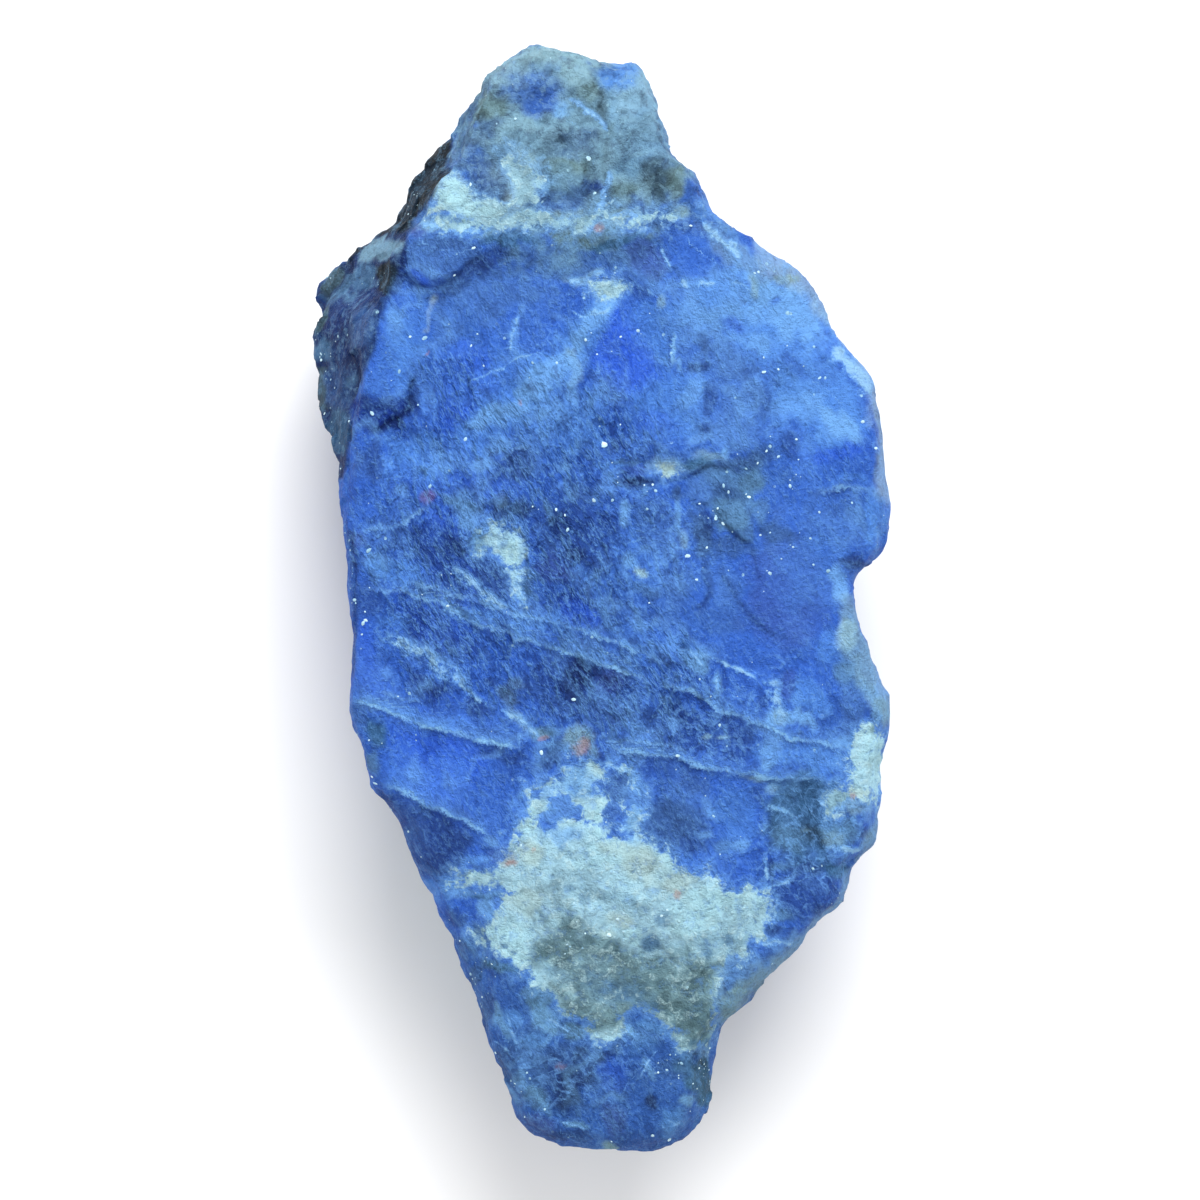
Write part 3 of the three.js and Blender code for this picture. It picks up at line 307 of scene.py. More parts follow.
    ("ink", -7.8, -17.3, 0.6, 0.6, 0, 0.6), ("bright", -6.6, -14.3, 0.9, 0.35, 10, 0.9),
    ("violet", -5.2, -14.2, 0.8, 0.6, 0, 0.8), ("sky", -5.9, -13.2, 0.5, 0.25, -20, 0.7),
    ("slate", -10.2, -13.3, 0.6, 1.3, 20, 0.6), ("ink", -8.7, -12.6, 1.0, 0.5, -35, 0.6),
    # below the white lace
    ("slate", -6.9, -18.9, 0.9, 0.9, -20, 0.9), ("teal", -5.4, -20.0, 1.2, 0.4, 0, 0.95),
    ("royal", -5.0, -21.2, 1.0, 0.8, 0, 1.0), ("slate", -6.8, -20.6, 0.5, 0.8, -15, 0.7),
    ("navy", -6.2, -22.6, 0.5, 1.0, -15, 0.7), ("sky", -3.0, -22.9, 1.1, 0.9, 0, 0.9),
    ("smoke", -3.4, -21.6, 0.8, 0.9, 0, 0.8), ("bright", -4.9, -23.0, 0.7, 0.6, 0, 0.6),
    ("bright", -3.6, -24.2, 0.9, 0.5, 0, 0.6), ("smoke", -1.4, -23.6, 0.8, 0.6, 0, 0.8),
    ("navy", -5.2, -25.6, 0.5, 1.0, -20, 0.6), ("smoke", -3.5, -27.3, 0.9, 0.4, -45, 0.6),
    ("steel", -3.4, -26.0, 0.8, 0.8, 0, 0.6), ("ink", -1.6, -26.6, 0.9, 1.2, 0, 0.8),
    ("ink", -1.0, -24.9, 0.6, 0.5, 0, 0.6), ("rust", -2.1, -25.6, 0.3, 0.2, 0, 0.3),
    ("cobalt", 0.7, -26.0, 0.7, 1.2, 0, 0.9), ("sky", 1.6, -23.7, 0.3, 0.4, 0, 0.9),
    ("bright", 2.9, -23.4, 1.0, 0.5, -35, 0.8), ("bright", 2.4, -24.6, 1.0, 0.5, 0, 0.5),
    ("sky", 2.7, -25.8, 0.2, 0.7, 30, 0.6), ("ink", 2.9, -27.6, 0.4, 0.5, 0, 0.95),
    ("navy", 4.0, -25.8, 0.8, 0.6, 0, 0.7), ("sky", 4.8, -27.6, 0.5, 0.4, 0, 0.8),
    ("bright", 4.1, -28.8, 1.0, 0.7, 20, 0.8), ("violet", -3.2, -28.7, 1.3, 0.7, -20, 0.9),
    ("ink", -1.6, -29.5, 1.2, 0.35, -10, 0.6), ("sky", -1.3, -28.95, 0.7, 0.2, -20, 0.8),
    ("violet", 0.8, -28.5, 0.7, 0.9, 0, 0.7), ("ash", 0.6, -30.2, 0.5, 0.35, 0, 0.9),
    ("ink", 5.2, -24.5, 1.0, 0.5, 0, 0.95), ("teal", 5.6, -25.8, 0.8, 1.9, 5, 0.95),
    ("soot", 5.4, -25.1, 0.9, 0.8, 0, 0.45),
    ("steel", 7.3, -20.9, 0.8, 0.9, 0, 1.0), ("ash", 7.5, -21.4, 0.6, 0.12, 0, 0.7),
    ("smoke", 6.9, -22.6, 0.5, 0.6, 20, 0.8),
]
# Soft bands: colour, half width, strength, course.
BANDS = [
    ("bright", 1.1, 0.8, [(-6.9, 9.2), (-4.8, 10.5), (-3.4, 11.8), (-2.2, 13.0), (-1.2, 14.2), (-0.3, 15.5)]),
    ("sky", 0.55, 0.8, [(-6.5, 9.5), (-4.8, 10.5), (-3.6, 11.6), (-2.4, 12.7), (-1.5, 13.8), (-0.7, 15.1),
                        (0.2, 15.8), (0.8, 16.6)]),
    ("ash", 0.35, 0.6, [(-1.7, 13.8), (-1.4, 13.0), (-1.4, 12.2)]),
    ("sky", 0.22, 0.4, [(-4.3, 15.9), (-4.6, 15.1), (-4.9, 14.2), (-4.8, 13.4)]),
    ("sky", 0.35, 0.6, [(-1.6, 13.4), (-1.4, 12.2), (-1.4, 11.2)]),
    ("bright", 0.5, 0.5, [(-11.6, 9.0), (-10.4, 8.0), (-9.2, 7.0)]),
    # painted shade along the lower edge of the notch
    ("ink", 0.25, 0.7, [(-12.2, 9.5), (-11.4, 9.8), (-10.8, 10.1), (-10.5, 10.8), (-10.3, 11.8)]),
    ("ink", 0.3, 0.8, [(-11.0, 17.6), (-11.6, 16.6), (-12.1, 15.4)]),
    ("ink", 0.2, 0.5, [(-12.3, 14.4), (-12.8, 13.2), (-13.1, 12.0)]),
    ("ink", 0.3, 0.4, [(2.0, 7.9), (3.0, 7.6)]),
    ("slate", 0.5, 0.6, [(6.6, 7.4), (8.0, 7.7), (9.6, 7.8)]),
    ("ink", 0.20, 0.4, [(4.5, 6.7), (5.4, 6.9), (6.2, 7.3), (7.6, 7.2)]),
    ("navy", 0.3, 0.6, [(5.6, 1.9), (5.9, 0.4), (5.6, -0.6)]),
    ("navy", 0.2, 0.6, [(6.5, 1.6), (7.6, -0.1), (8.4, -1.1), (10.0, -2.3)]),
    ("bright", 0.25, 0.5, [(-1.4, 2.2), (-0.8, 1.0), (0.0, -0.2), (0.8, -1.4)]),
    ("sky", 0.16, 0.5, [(-3.2, 6.2), (-2.8, 5.0), (-2.6, 4.0)]),
    ("sky", 0.5, 0.6, [(9.0, -6.9), (9.6, -7.4), (9.4, -8.2), (9.2, -9.0)]),
    ("smoke", 0.4, 0.6, [(13.6, -2.8), (14.2, -4.2), (15.0, -5.4)]),
    ("ink", 0.35, 0.6, [(-11.6, -11.0), (-10.2, -11.7), (-8.8, -12.4), (-7.2, -13.2)]),
    ("sky", 0.2, 0.6, [(-5.7, -22.2), (-5.4, -23.0), (-5.0, -24.0)]),
    ("sky", 0.15, 0.5, [(-4.4, -26.0), (-3.6, -27.2), (-2.6, -28.2)]),
    ("ink", 0.25, 0.6, [(1.0, -24.6), (0.2, -25.2), (-0.6, -26.4)]),
    ("teal", 0.4, 0.6, [(4.4, -24.8), (4.9, -26.0), (5.5, -27.4)]),
    ("cobalt", 0.9, 0.5, [(-13.0, -2.0), (-12.9, -4.0), (-12.4, -5.0)]),
    # painted shadow under the lip at the knob's left end
    ("ink", 0.45, 0.55, [(-10.6, 17.6), (-9.4, 16.9), (-8.4, 17.0), (-7.4, 17.8), (-6.8, 18.5),
                         (-5.2, 18.8)]),
    ("cream", 0.13, 0.35, [(-9.1, 16.8), (-9.3, 15.8), (-9.5, 14.6)]),
    # the paler skin along the right-hand edge, with a painted highlight where its upper rim catches the light
    ("cream", 0.8, 0.45, [(9.0, 19.0), (11.6, 17.2), (13.4, 15.0), (14.9, 12.4), (15.6, 9.4), (15.8, 6.0)]),
    ("ash", 0.8, 0.65, [(13.7, -0.6), (14.2, -2.6), (14.9, -4.4), (15.8, -6.4)]),
    ("ash", 0.7, 0.60, [(15.2, -12.2), (14.6, -14.4), (13.0, -17.0), (11.0, -19.2), (8.2, -21.2),
                        (6.8, -23.0)]),
]
# The darker flank at the upper left, beyond its ridge.
FLANK = [(-8.3, 24.2), (-8.5, 23.3), (-9.2, 22.0), (-9.9, 21.0), (-10.4, 20.0), (-10.7, 19.2), (-11.0, 18.0),
         (-11.3, 17.2), (-11.8, 16.3), (-12.1, 15.0), (-12.3, 14.0), (-12.6, 13.0), (-12.9, 12.0),
         (-13.3, 11.0),
         (-13.5, 10.2), (-13.3, 9.0), (-13.6, 7.6), (-14.0, 6.6), (-17.5, 6.5), (-17.5, 19.0), (-12.0, 25.0),
         (-7.4, 28.5)]
# Two flakes that lie on the right of the face.
LARGE_FLAKE = [(6.2, 5.2), (6.5, 4.6), (6.9, 4.1), (7.4, 3.7), (7.9, 3.3), (8.4, 3.1), (8.5, 3.8), (8.4, 4.6),
               (8.7, 5.3), (7.4, 5.5), (6.4, 5.6)]
SMALL_FLAKE = [(4.8, 6.4), (5.9, 6.6), (6.1, 5.5), (5.6, 5.1), (5.2, 5.4), (4.9, 5.6)]
# Crisp-edged patches of the blue mineral and of the facets on the flank: colour, strength, softness of the
# edge, corners.
PATCHES = [
    # the flank's darker rock, deepened with painted shade where it slopes away from the light
    ("dusk", 0.95, 0.14, FLANK),
    # the darker band along the flank's outer edge, partly painted shade on the steep drop
    ("soot", 1.0, 0.25, [(-7.6, 27.5), (-8.3, 24.2), (-8.5, 23.3), (-9.2, 22.0), (-9.9, 21.0), (-10.4, 20.1),
                         (-11.4, 20.0), (-12.6, 20.1), (-13.4, 19.0), (-14.3, 18.4), (-16.0, 18.0),
                         (-14.5, 22.0), (-11.0, 25.0), (-8.5, 28.5)]),
    ("ash", 0.80, 0.15, [(-13.4, 18.5), (-13.0, 19.6), (-12.1, 19.9), (-11.2, 19.7), (-10.7, 19.5),
                         (-10.9, 19.0),
                         (-11.9, 18.6), (-12.5, 18.7)]),
    ("soot", 1.0, 0.12, [(-12.4, 18.3), (-11.3, 18.7), (-10.9, 17.9), (-11.2, 17.2), (-11.6, 16.6),
                         (-12.1, 17.0)]),
    ("smoke", 0.65, 0.15, [(-13.5, 17.2), (-12.5, 17.2), (-12.3, 18.2), (-13.1, 18.5), (-13.8, 18.0)]),
    ("smoke", 0.75, 0.20, [(-14.7, 16.5), (-13.4, 16.4), (-13.3, 17.2), (-13.9, 18.1), (-14.6, 17.9)]),
    ("olive", 0.70, 0.20, [(-16.2, 15.0), (-15.0, 15.4), (-14.8, 17.8), (-15.4, 18.4), (-16.4, 17.0)]),
    ("ink", 0.80, 0.15, [(-15.2, 14.6), (-14.3, 14.8), (-13.6, 15.7), (-12.8, 16.2), (-12.0, 16.6),
                         (-12.4, 17.2), (-13.4, 16.5), (-14.3, 16.2), (-15.0, 15.4)]),
    ("slate", 0.80, 0.15, [(-13.7, 13.9), (-12.5, 13.9), (-12.2, 15.4), (-12.2, 16.2), (-13.1, 16.0),
                           (-13.8, 15.1)]),
    ("smoke", 0.75, 0.20, [(-15.8, 12.8), (-14.9, 13.0), (-14.6, 14.2), (-15.2, 14.6), (-15.9, 14.2)]),
    ("slate", 0.70, 0.20, [(-14.7, 12.8), (-13.3, 12.6), (-13.5, 10.6), (-14.5, 10.4), (-14.9, 11.6)]),
    ("smoke", 0.60, 0.15, [(-14.0, 11.6), (-13.4, 11.9), (-13.3, 12.4), (-13.9, 12.3)]),
    ("teal", 0.80, 0.20, [(-15.0, 8.0), (-13.7, 8.0), (-13.5, 9.2), (-13.8, 10.4), (-14.6, 10.6),
                          (-15.2, 9.6)]),
    ("olive", 0.60, 0.20, [(-15.6, 10.4), (-14.7, 10.8), (-14.8, 12.4), (-15.6, 12.2)]),
    # the strip along the ridge, brightened with painted light, the notch below it, dark with painted shade,
    # and the lip above it
    ("bright", 0.25, 0.12, [(-10.4, 16.9), (-9.8, 16.9), (-9.3, 16.8), (-9.2, 16.0), (-9.5, 14.5),
                            (-9.7, 13.0),
                            (-10.2, 12.2), (-11.2, 11.5), (-12.3, 11.8), (-12.1, 13.0), (-11.7, 14.5),
                            (-11.2, 15.8)]),
    ("deep", 0.90, 0.18, [(-13.5, 10.8), (-12.9, 11.3), (-12.0, 11.2), (-11.3, 11.1), (-10.8, 10.9),
                          (-10.5, 10.6),
                         (-10.9, 10.0), (-11.6, 9.7), (-12.2, 9.5), (-13.0, 9.3), (-13.5, 10.0)]),
    ("steel", 0.35, 0.35, [(-10.3, 19.9), (-9.6, 20.2), (-7.8, 20.0), (-6.9, 19.6), (-6.8, 18.9),
                           (-7.3, 18.4),
                           (-8.0, 18.1), (-8.7, 17.9), (-9.4, 17.8), (-10.1, 18.0), (-10.4, 18.8)]),
    # clear blue within the knob
    ("slate", 0.60, 0.30, [(-7.4, 23.9), (-6.7, 24.5), (-5.7, 24.1), (-5.1, 23.1), (-4.9, 22.2), (-5.5, 21.8),
                           (-6.4, 22.0), (-6.9, 22.6)]),
    ("royal", 0.30, 0.50, [(-5.4, 28.8), (-3.9, 29.1), (-2.6, 28.7), (-1.9, 27.9), (-2.1, 27.0), (-3.0, 26.6),
                           (-3.8, 26.9), (-4.6, 27.6)]),
    ("bright", 0.85, 0.30, [(0.1, 28.2), (0.4, 29.4), (1.5, 30.0), (2.0, 29.0), (1.8, 28.2), (1.0, 27.9)]),
    ("soot", 0.45, 0.35, [(2.3, 24.1), (3.4, 24.2), (3.8, 23.0), (3.4, 21.8), (2.4, 21.9), (2.1, 22.8)]),
    ("royal", 0.80, 0.25, [(3.3, 17.4), (3.9, 18.2), (3.4, 19.4), (3.2, 20.6), (4.2, 20.9), (5.0, 20.9),
                           (5.8, 20.0), (6.1, 18.6), (5.8, 17.6), (4.8, 17.5)]),
    # flakes and pockets on the face
    ("smoke", 0.55, 0.10, LARGE_FLAKE),
    ("steel", 0.80, 0.12, SMALL_FLAKE),
    ("navy", 0.65, 0.20, [(-6.9, 2.4), (-6.0, 2.4), (-5.3, 2.0), (-5.0, 1.4), (-4.9, 0.6), (-5.3, 0.1),
                          (-6.0, 0.0), (-6.6, 0.6), (-7.1, 1.4)]),
    ("navy", 0.75, 0.18, [(-5.9, 7.4), (-5.2, 7.9), (-4.3, 8.4), (-3.5, 8.2), (-3.4, 7.2), (-4.2, 6.6),
                          (-5.6, 6.7)]),
    ("navy", 0.85, 0.20, [(-12.3, -10.3), (-11.0, -10.7), (-10.0, -11.3), (-9.0, -12.0), (-8.0, -12.5),
                          (-7.2, -13.0), (-7.3, -13.9), (-7.9, -14.6), (-8.6, -15.1), (-9.8, -15.0),
                          (-11.0, -14.4), (-12.3, -12.4)]),
    ("navy", 0.75, 0.18, [(0.5, -9.5), (1.2, -9.4), (1.6, -10.2), (1.5, -10.9), (1.0, -11.4), (0.9, -12.3),
                          (0.8, -12.9), (0.4, -12.6), (0.2, -11.6), (0.2, -10.6), (0.3, -9.9)]),
    ("slate", 0.55, 0.30, [(2.7, -11.0), (3.6, -10.6), (4.6, -11.2), (5.4, -11.4), (5.6, -12.3), (4.9, -12.6),
                           (4.4, -13.4), (3.6, -13.6), (2.9, -13.5), (2.4, -12.7)]),
    ("royal", 0.90, 0.20, [(6.4, -14.1), (8.8, -13.8), (9.1, -14.6), (9.2, -15.6), (8.2, -15.7), (6.8, -15.7),
                           (6.4, -15.1)]),
    ("soot", 0.60, 0.20, [(10.9, -12.3), (11.8, -12.4), (12.4, -12.9), (12.2, -13.5), (11.4, -13.4),
                          (10.9, -12.9)]),
    ("teal", 0.60, 0.20, [(10.7, -9.9), (12.3, -9.9), (12.4, -10.8), (11.9, -11.6), (11.0, -11.4),
                          (10.6, -10.6)]),
    ("navy", 0.70, 0.20, [(9.5, -15.4), (11.0, -15.1), (12.6, -15.2), (13.2, -16.2), (12.0, -17.4),
                          (10.4, -17.0),
                          (9.6, -16.6)]),
    # painted shade in the notch on the right edge, under the lobe
    ("ink", 0.70, 0.15, [(13.0, 2.2), (13.6, 1.7), (14.6, 1.8), (14.4, 2.4), (13.6, 2.5)]),
]

# Patches of white mineral, as corners; the first is the lace across the lower half.
WHITES = [
    [(-2.0, -8.7), (-0.6, -8.7), (0.0, -9.3), (0.2, -10.3), (0.35, -11.3), (0.25, -12.4), (0.7, -13.1),
     (1.5, -13.1), (1.8, -12.4), (2.2, -12.2), (2.5, -13.2), (3.3, -13.8), (3.7, -13.5), (4.0, -13.9),
     (4.2, -14.7), (5.0, -15.1), (6.0, -14.9), (6.5, -15.4), (6.7, -15.9), (8.4, -15.8), (9.2, -16.0),
     (9.4, -17.0), (8.9, -18.0), (8.3, -19.0), (8.1, -20.0), (6.9, -20.1), (6.3, -20.6), (6.3, -22.2),
     (6.2, -23.8), (5.4, -24.6), (4.5, -24.7), (4.0, -24.0), (3.0, -22.9), (1.9, -22.5), (1.3, -23.8),
     (0.8, -24.5), (-0.2, -24.2), (-1.0, -23.2), (-2.2, -22.4), (-3.4, -21.4), (-4.0, -20.4), (-5.0, -19.8),
     (-6.4, -19.1), (-6.9, -18.2), (-6.1, -17.6), (-5.5, -17.3), (-5.1, -16.5), (-4.8, -16.0), (-6.2, -15.9),
     (-8.3, -15.7), (-8.0, -15.0), (-6.8, -14.6), (-5.6, -14.4), (-5.2, -13.5), (-4.7, -12.9), (-4.5, -12.1),
     (-4.1, -11.3), (-3.9, -10.1), (-2.8, -9.8), (-2.1, -9.5)],
    [(-8.5, 23.3), (-7.6, 23.1), (-7.2, 22.2), (-6.6, 21.9), (-5.0, 21.5), (-4.6, 20.9), (-6.4, 20.5),
     (-7.4, 20.8), (-8.6, 21.2), (-9.4, 20.8), (-9.1, 21.6)],
    [(-5.4, 24.3), (-4.7, 24.5), (-3.4, 23.8), (-3.1, 22.8), (-3.3, 21.5), (-4.6, 21.5), (-4.7, 22.5),
     (-5.2, 23.4)],
    [(14.0, -7.0), (14.8, -6.9), (15.5, -7.4), (15.6, -8.2), (15.3, -10.2), (15.1, -11.2), (14.2, -11.0),
     (13.2, -11.6), (12.4, -11.8), (12.3, -10.6), (13.2, -10.2), (13.8, -9.4), (13.6, -8.4), (13.9, -7.6)],
    [(-7.1, 3.1), (-6.7, 3.8), (-5.9, 4.0), (-5.1, 4.0), (-4.5, 3.8), (-4.15, 3.1), (-4.0, 2.3), (-4.1, 1.5),
     (-4.15, 0.9), (-3.95, 0.4), (-4.1, -0.4), (-4.6, 0.2), (-4.8, 1.1), (-4.85, 1.6), (-5.1, 2.1),
     (-5.5, 2.5),
     (-6.1, 2.7), (-6.8, 2.5)],
    [(1.3, -9.0), (1.7, -9.2), (2.1, -10.0), (2.5, -10.9), (2.5, -11.9), (2.3, -12.6), (1.4, -13.0),
     (1.1, -12.2),
     (1.4, -11.3), (1.8, -10.6), (1.5, -9.8), (1.2, -9.4)],
    [(-0.5, 17.3), (0.6, 17.6), (1.2, 17.1), (1.1, 16.5), (0.2, 16.5), (-0.4, 16.8)],
    [(-9.0, 20.7), (-6.5, 21.0), (-4.4, 21.4), (-2.6, 21.2), (-0.6, 21.2), (0.4, 22.0), (0.8, 21.3),
     (2.4, 21.2),
     (4.6, 21.2), (4.4, 20.7), (2.0, 20.5), (-1.0, 20.3), (-4.0, 20.4), (-6.4, 20.3), (-8.6, 20.2)],
    [(3.1, 7.35), (3.5, 7.6), (4.3, 7.5), (4.5, 7.15), (4.2, 6.85), (3.5, 6.85)],
]
# Thin streaks of white mineral in the blue: half width, strength, course.
STREAKS = [
    (0.45, 0.60, [(-12.2, -1.5), (-11.3, -2.1), (-10.3, -2.4), (-9.5, -2.9), (-8.5, -3.6), (-7.6, -4.3),
                  (-6.8, -5.0)]),
    (0.16, 0.72, [(-12.3, -1.7), (-11.5, -2.3), (-10.4, -2.6), (-9.4, -3.2), (-8.5, -3.85), (-7.6, -4.6),
                  (-6.8, -5.3), (-5.8, -5.75)]),
    (0.18, 0.60, [(-5.6, -5.9), (-4.6, -6.4), (-3.8, -7.0), (-3.2, -7.6)]),
    (0.28, 0.70, [(-8.7, 1.9), (-8.0, 1.65), (-7.3, 1.2), (-6.6, 0.6), (-6.0, 0.1), (-5.2, -0.3),
                  (-4.5, -0.7)]),
    # the bright rim at the upper right: white mineral, with a painted highlight where the edge catches the
    # light
    (0.32, 0.95, [(12.4, 14.0), (13.3, 13.2), (14.0, 12.6), (14.5, 12.0), (14.9, 11.0)]),
    (0.20, 0.95, [(5.5, 20.8), (5.9, 20.2), (6.6, 19.7), (7.3, 19.2), (7.9, 18.5)]),
    (0.12, 0.90, [(7.0, 19.8), (7.6, 19.4)]), (0.14, 0.80, [(-1.8, 17.55), (-1.0, 17.5)]),
    (0.30, 0.80, [(9.0, -4.4), (9.6, -4.6), (9.5, -5.2), (9.8, -6.0), (10.1, -6.3), (9.7, -7.0)]),
    (0.12, 0.75, [(6.3, -3.1), (7.0, -3.5), (7.8, -3.95), (8.8, -4.35)]),
    (0.14, 0.80, [(8.5, -18.8), (9.6, -18.8), (10.9, -18.8)]),
    (0.14, 0.80, [(12.4, -13.6), (13.4, -13.6), (14.4, -13.7)]), (0.20, 0.80, [(4.6, 17.5), (4.75, 16.9)]),
    (0.22, 0.60, [(-1.9, 27.7), (-0.9, 26.9), (0.3, 26.1), (0.4, 25.5)]),
    (0.14, 0.70, [(5.2, 17.35), (5.8, 17.3), (6.5, 17.4)]),
    (0.12, 0.70, [(7.0, 17.4), (7.9, 17.3), (8.3, 16.8)]),
    (0.24, 0.55, [(0.5, 23.6), (0.4, 22.8), (0.2, 21.8), (-0.3, 21.1)]),
    (0.10, 0.70, [(3.3, 19.4), (3.5, 18.7), (3.9, 18.1)]), (0.10, 0.60, [(-0.4, 17.9), (0.3, 17.95)]),
    (0.20, 0.80, [(-9.9, 20.85), (-8.9, 20.4), (-7.6, 20.15), (-6.2, 20.3)]),
    (0.12, 0.60, [(1.5, -9.2), (1.9, -10.0), (2.2, -10.9), (2.2, -11.8)]),
    (0.16, 0.80, [(0.1, -8.9), (0.8, -9.1), (1.6, -9.4)]),
    (0.16, 0.70, [(0.6, 21.1), (1.4, 21.1), (2.3, 20.8)]),
    (0.14, 0.60, [(-2.4, 20.5), (-1.4, 20.9), (-0.7, 20.7)]),
    (0.10, 0.60, [(-5.9, -24.3), (-5.3, -24.5), (-4.9, -24.9)]),
    (0.14, 0.70, [(11.9, -10.9), (12.6, -11.6), (13.6, -11.2)]), (0.12, 0.70, [(9.1, -14.6), (9.2, -15.4)]),
    (0.10, 0.45, [(-7.8, 11.7), (-6.3, 12.3), (-4.7, 13.05), (-3.0, 13.7)]),
    (0.14, 0.60, [(-4.35, 15.8), (-4.65, 15.1), (-4.9, 14.2), (-4.8, 13.3)]),
    (0.10, 0.60, [(-1.6, 15.9), (-0.8, 15.4), (0.2, 15.8)]),
    (0.12, 0.60, [(-0.5, 15.9), (0.1, 15.7), (0.7, 16.2)]),
    (0.10, 0.55, [(6.3, -4.0), (6.4, -4.6), (6.4, -5.3)]),
    (0.10, 0.50, [(2.4, 17.0), (2.9, 16.6), (3.4, 16.9)]),
    (0.12, 0.60, [(0.4, -24.6), (1.0, -23.9), (1.8, -23.4)]),
    (0.12, 0.50, [(2.2, -26.4), (2.6, -25.4), (3.2, -24.6)]),
    (0.12, 0.50, [(-3.0, -22.8), (-2.2, -23.4), (-1.2, -23.9)]),
    (0.10, 0.50, [(-5.2, -22.4), (-4.9, -23.6), (-4.4, -24.6)]),
    (0.12, 0.50, [(-2.3, -28.6), (-1.4, -28.9), (-0.6, -29.1)]),
    (0.12, 0.50, [(3.4, -28.2), (4.2, -28.9), (4.6, -28.6)]),
    (0.10, 0.50, [(4.2, -2.7), (5.2, -3.0), (5.6, -3.6), (6.0, -3.9)]),
    (0.12, 0.50, [(8.3, -15.9), (9.6, -15.7), (10.9, -15.1)]),
]
# Windows of clear blue left open in the white: x, y, radius.
WINDOWS = [(-2.1, -11.5, 0.70), (-1.5, -11.7, 0.55), (-2.8, -12.0, 0.45), (-3.7, -10.6, 0.15),
           (-0.75, -12.2, 0.1),
           (7.3, -19.9, 0.2), (-5.9, -16.5, 0.3), (0.85, -10.4, 0.70), (0.6, -11.6, 0.45),
           (0.55, -12.4, 0.35),
           (-5.9, 1.3, 0.95), (-5.6, 1.8, 0.55), (-6.3, 1.9, 0.60), (-5.4, 0.5, 0.40)]
# Where the white is thin and breaks up into lace: x, y, half width, half height, turn.
THIN_AREAS = [(-2.2, -10.2, 2.2, 1.8, 25), (-3.9, -12.0, 0.8, 1.4, 10), (-7.0, -15.2, 1.6, 0.7, 0),
              (-5.4, -18.4, 1.8, 1.2, 0), (1.6, -23.0, 3.0, 1.2, -10), (-4.3, 22.9, 1.3, 1.5, 0),
              (13.2, -11.2, 1.3, 0.8, 0), (7.6, -19.4, 1.2, 0.8, 0), (-6.4, 3.3, 0.7, 0.6, 0),
              (0.4, 20.9, 6.0, 0.8, 0), (1.9, -11.0, 0.9, 2.2, 8)]
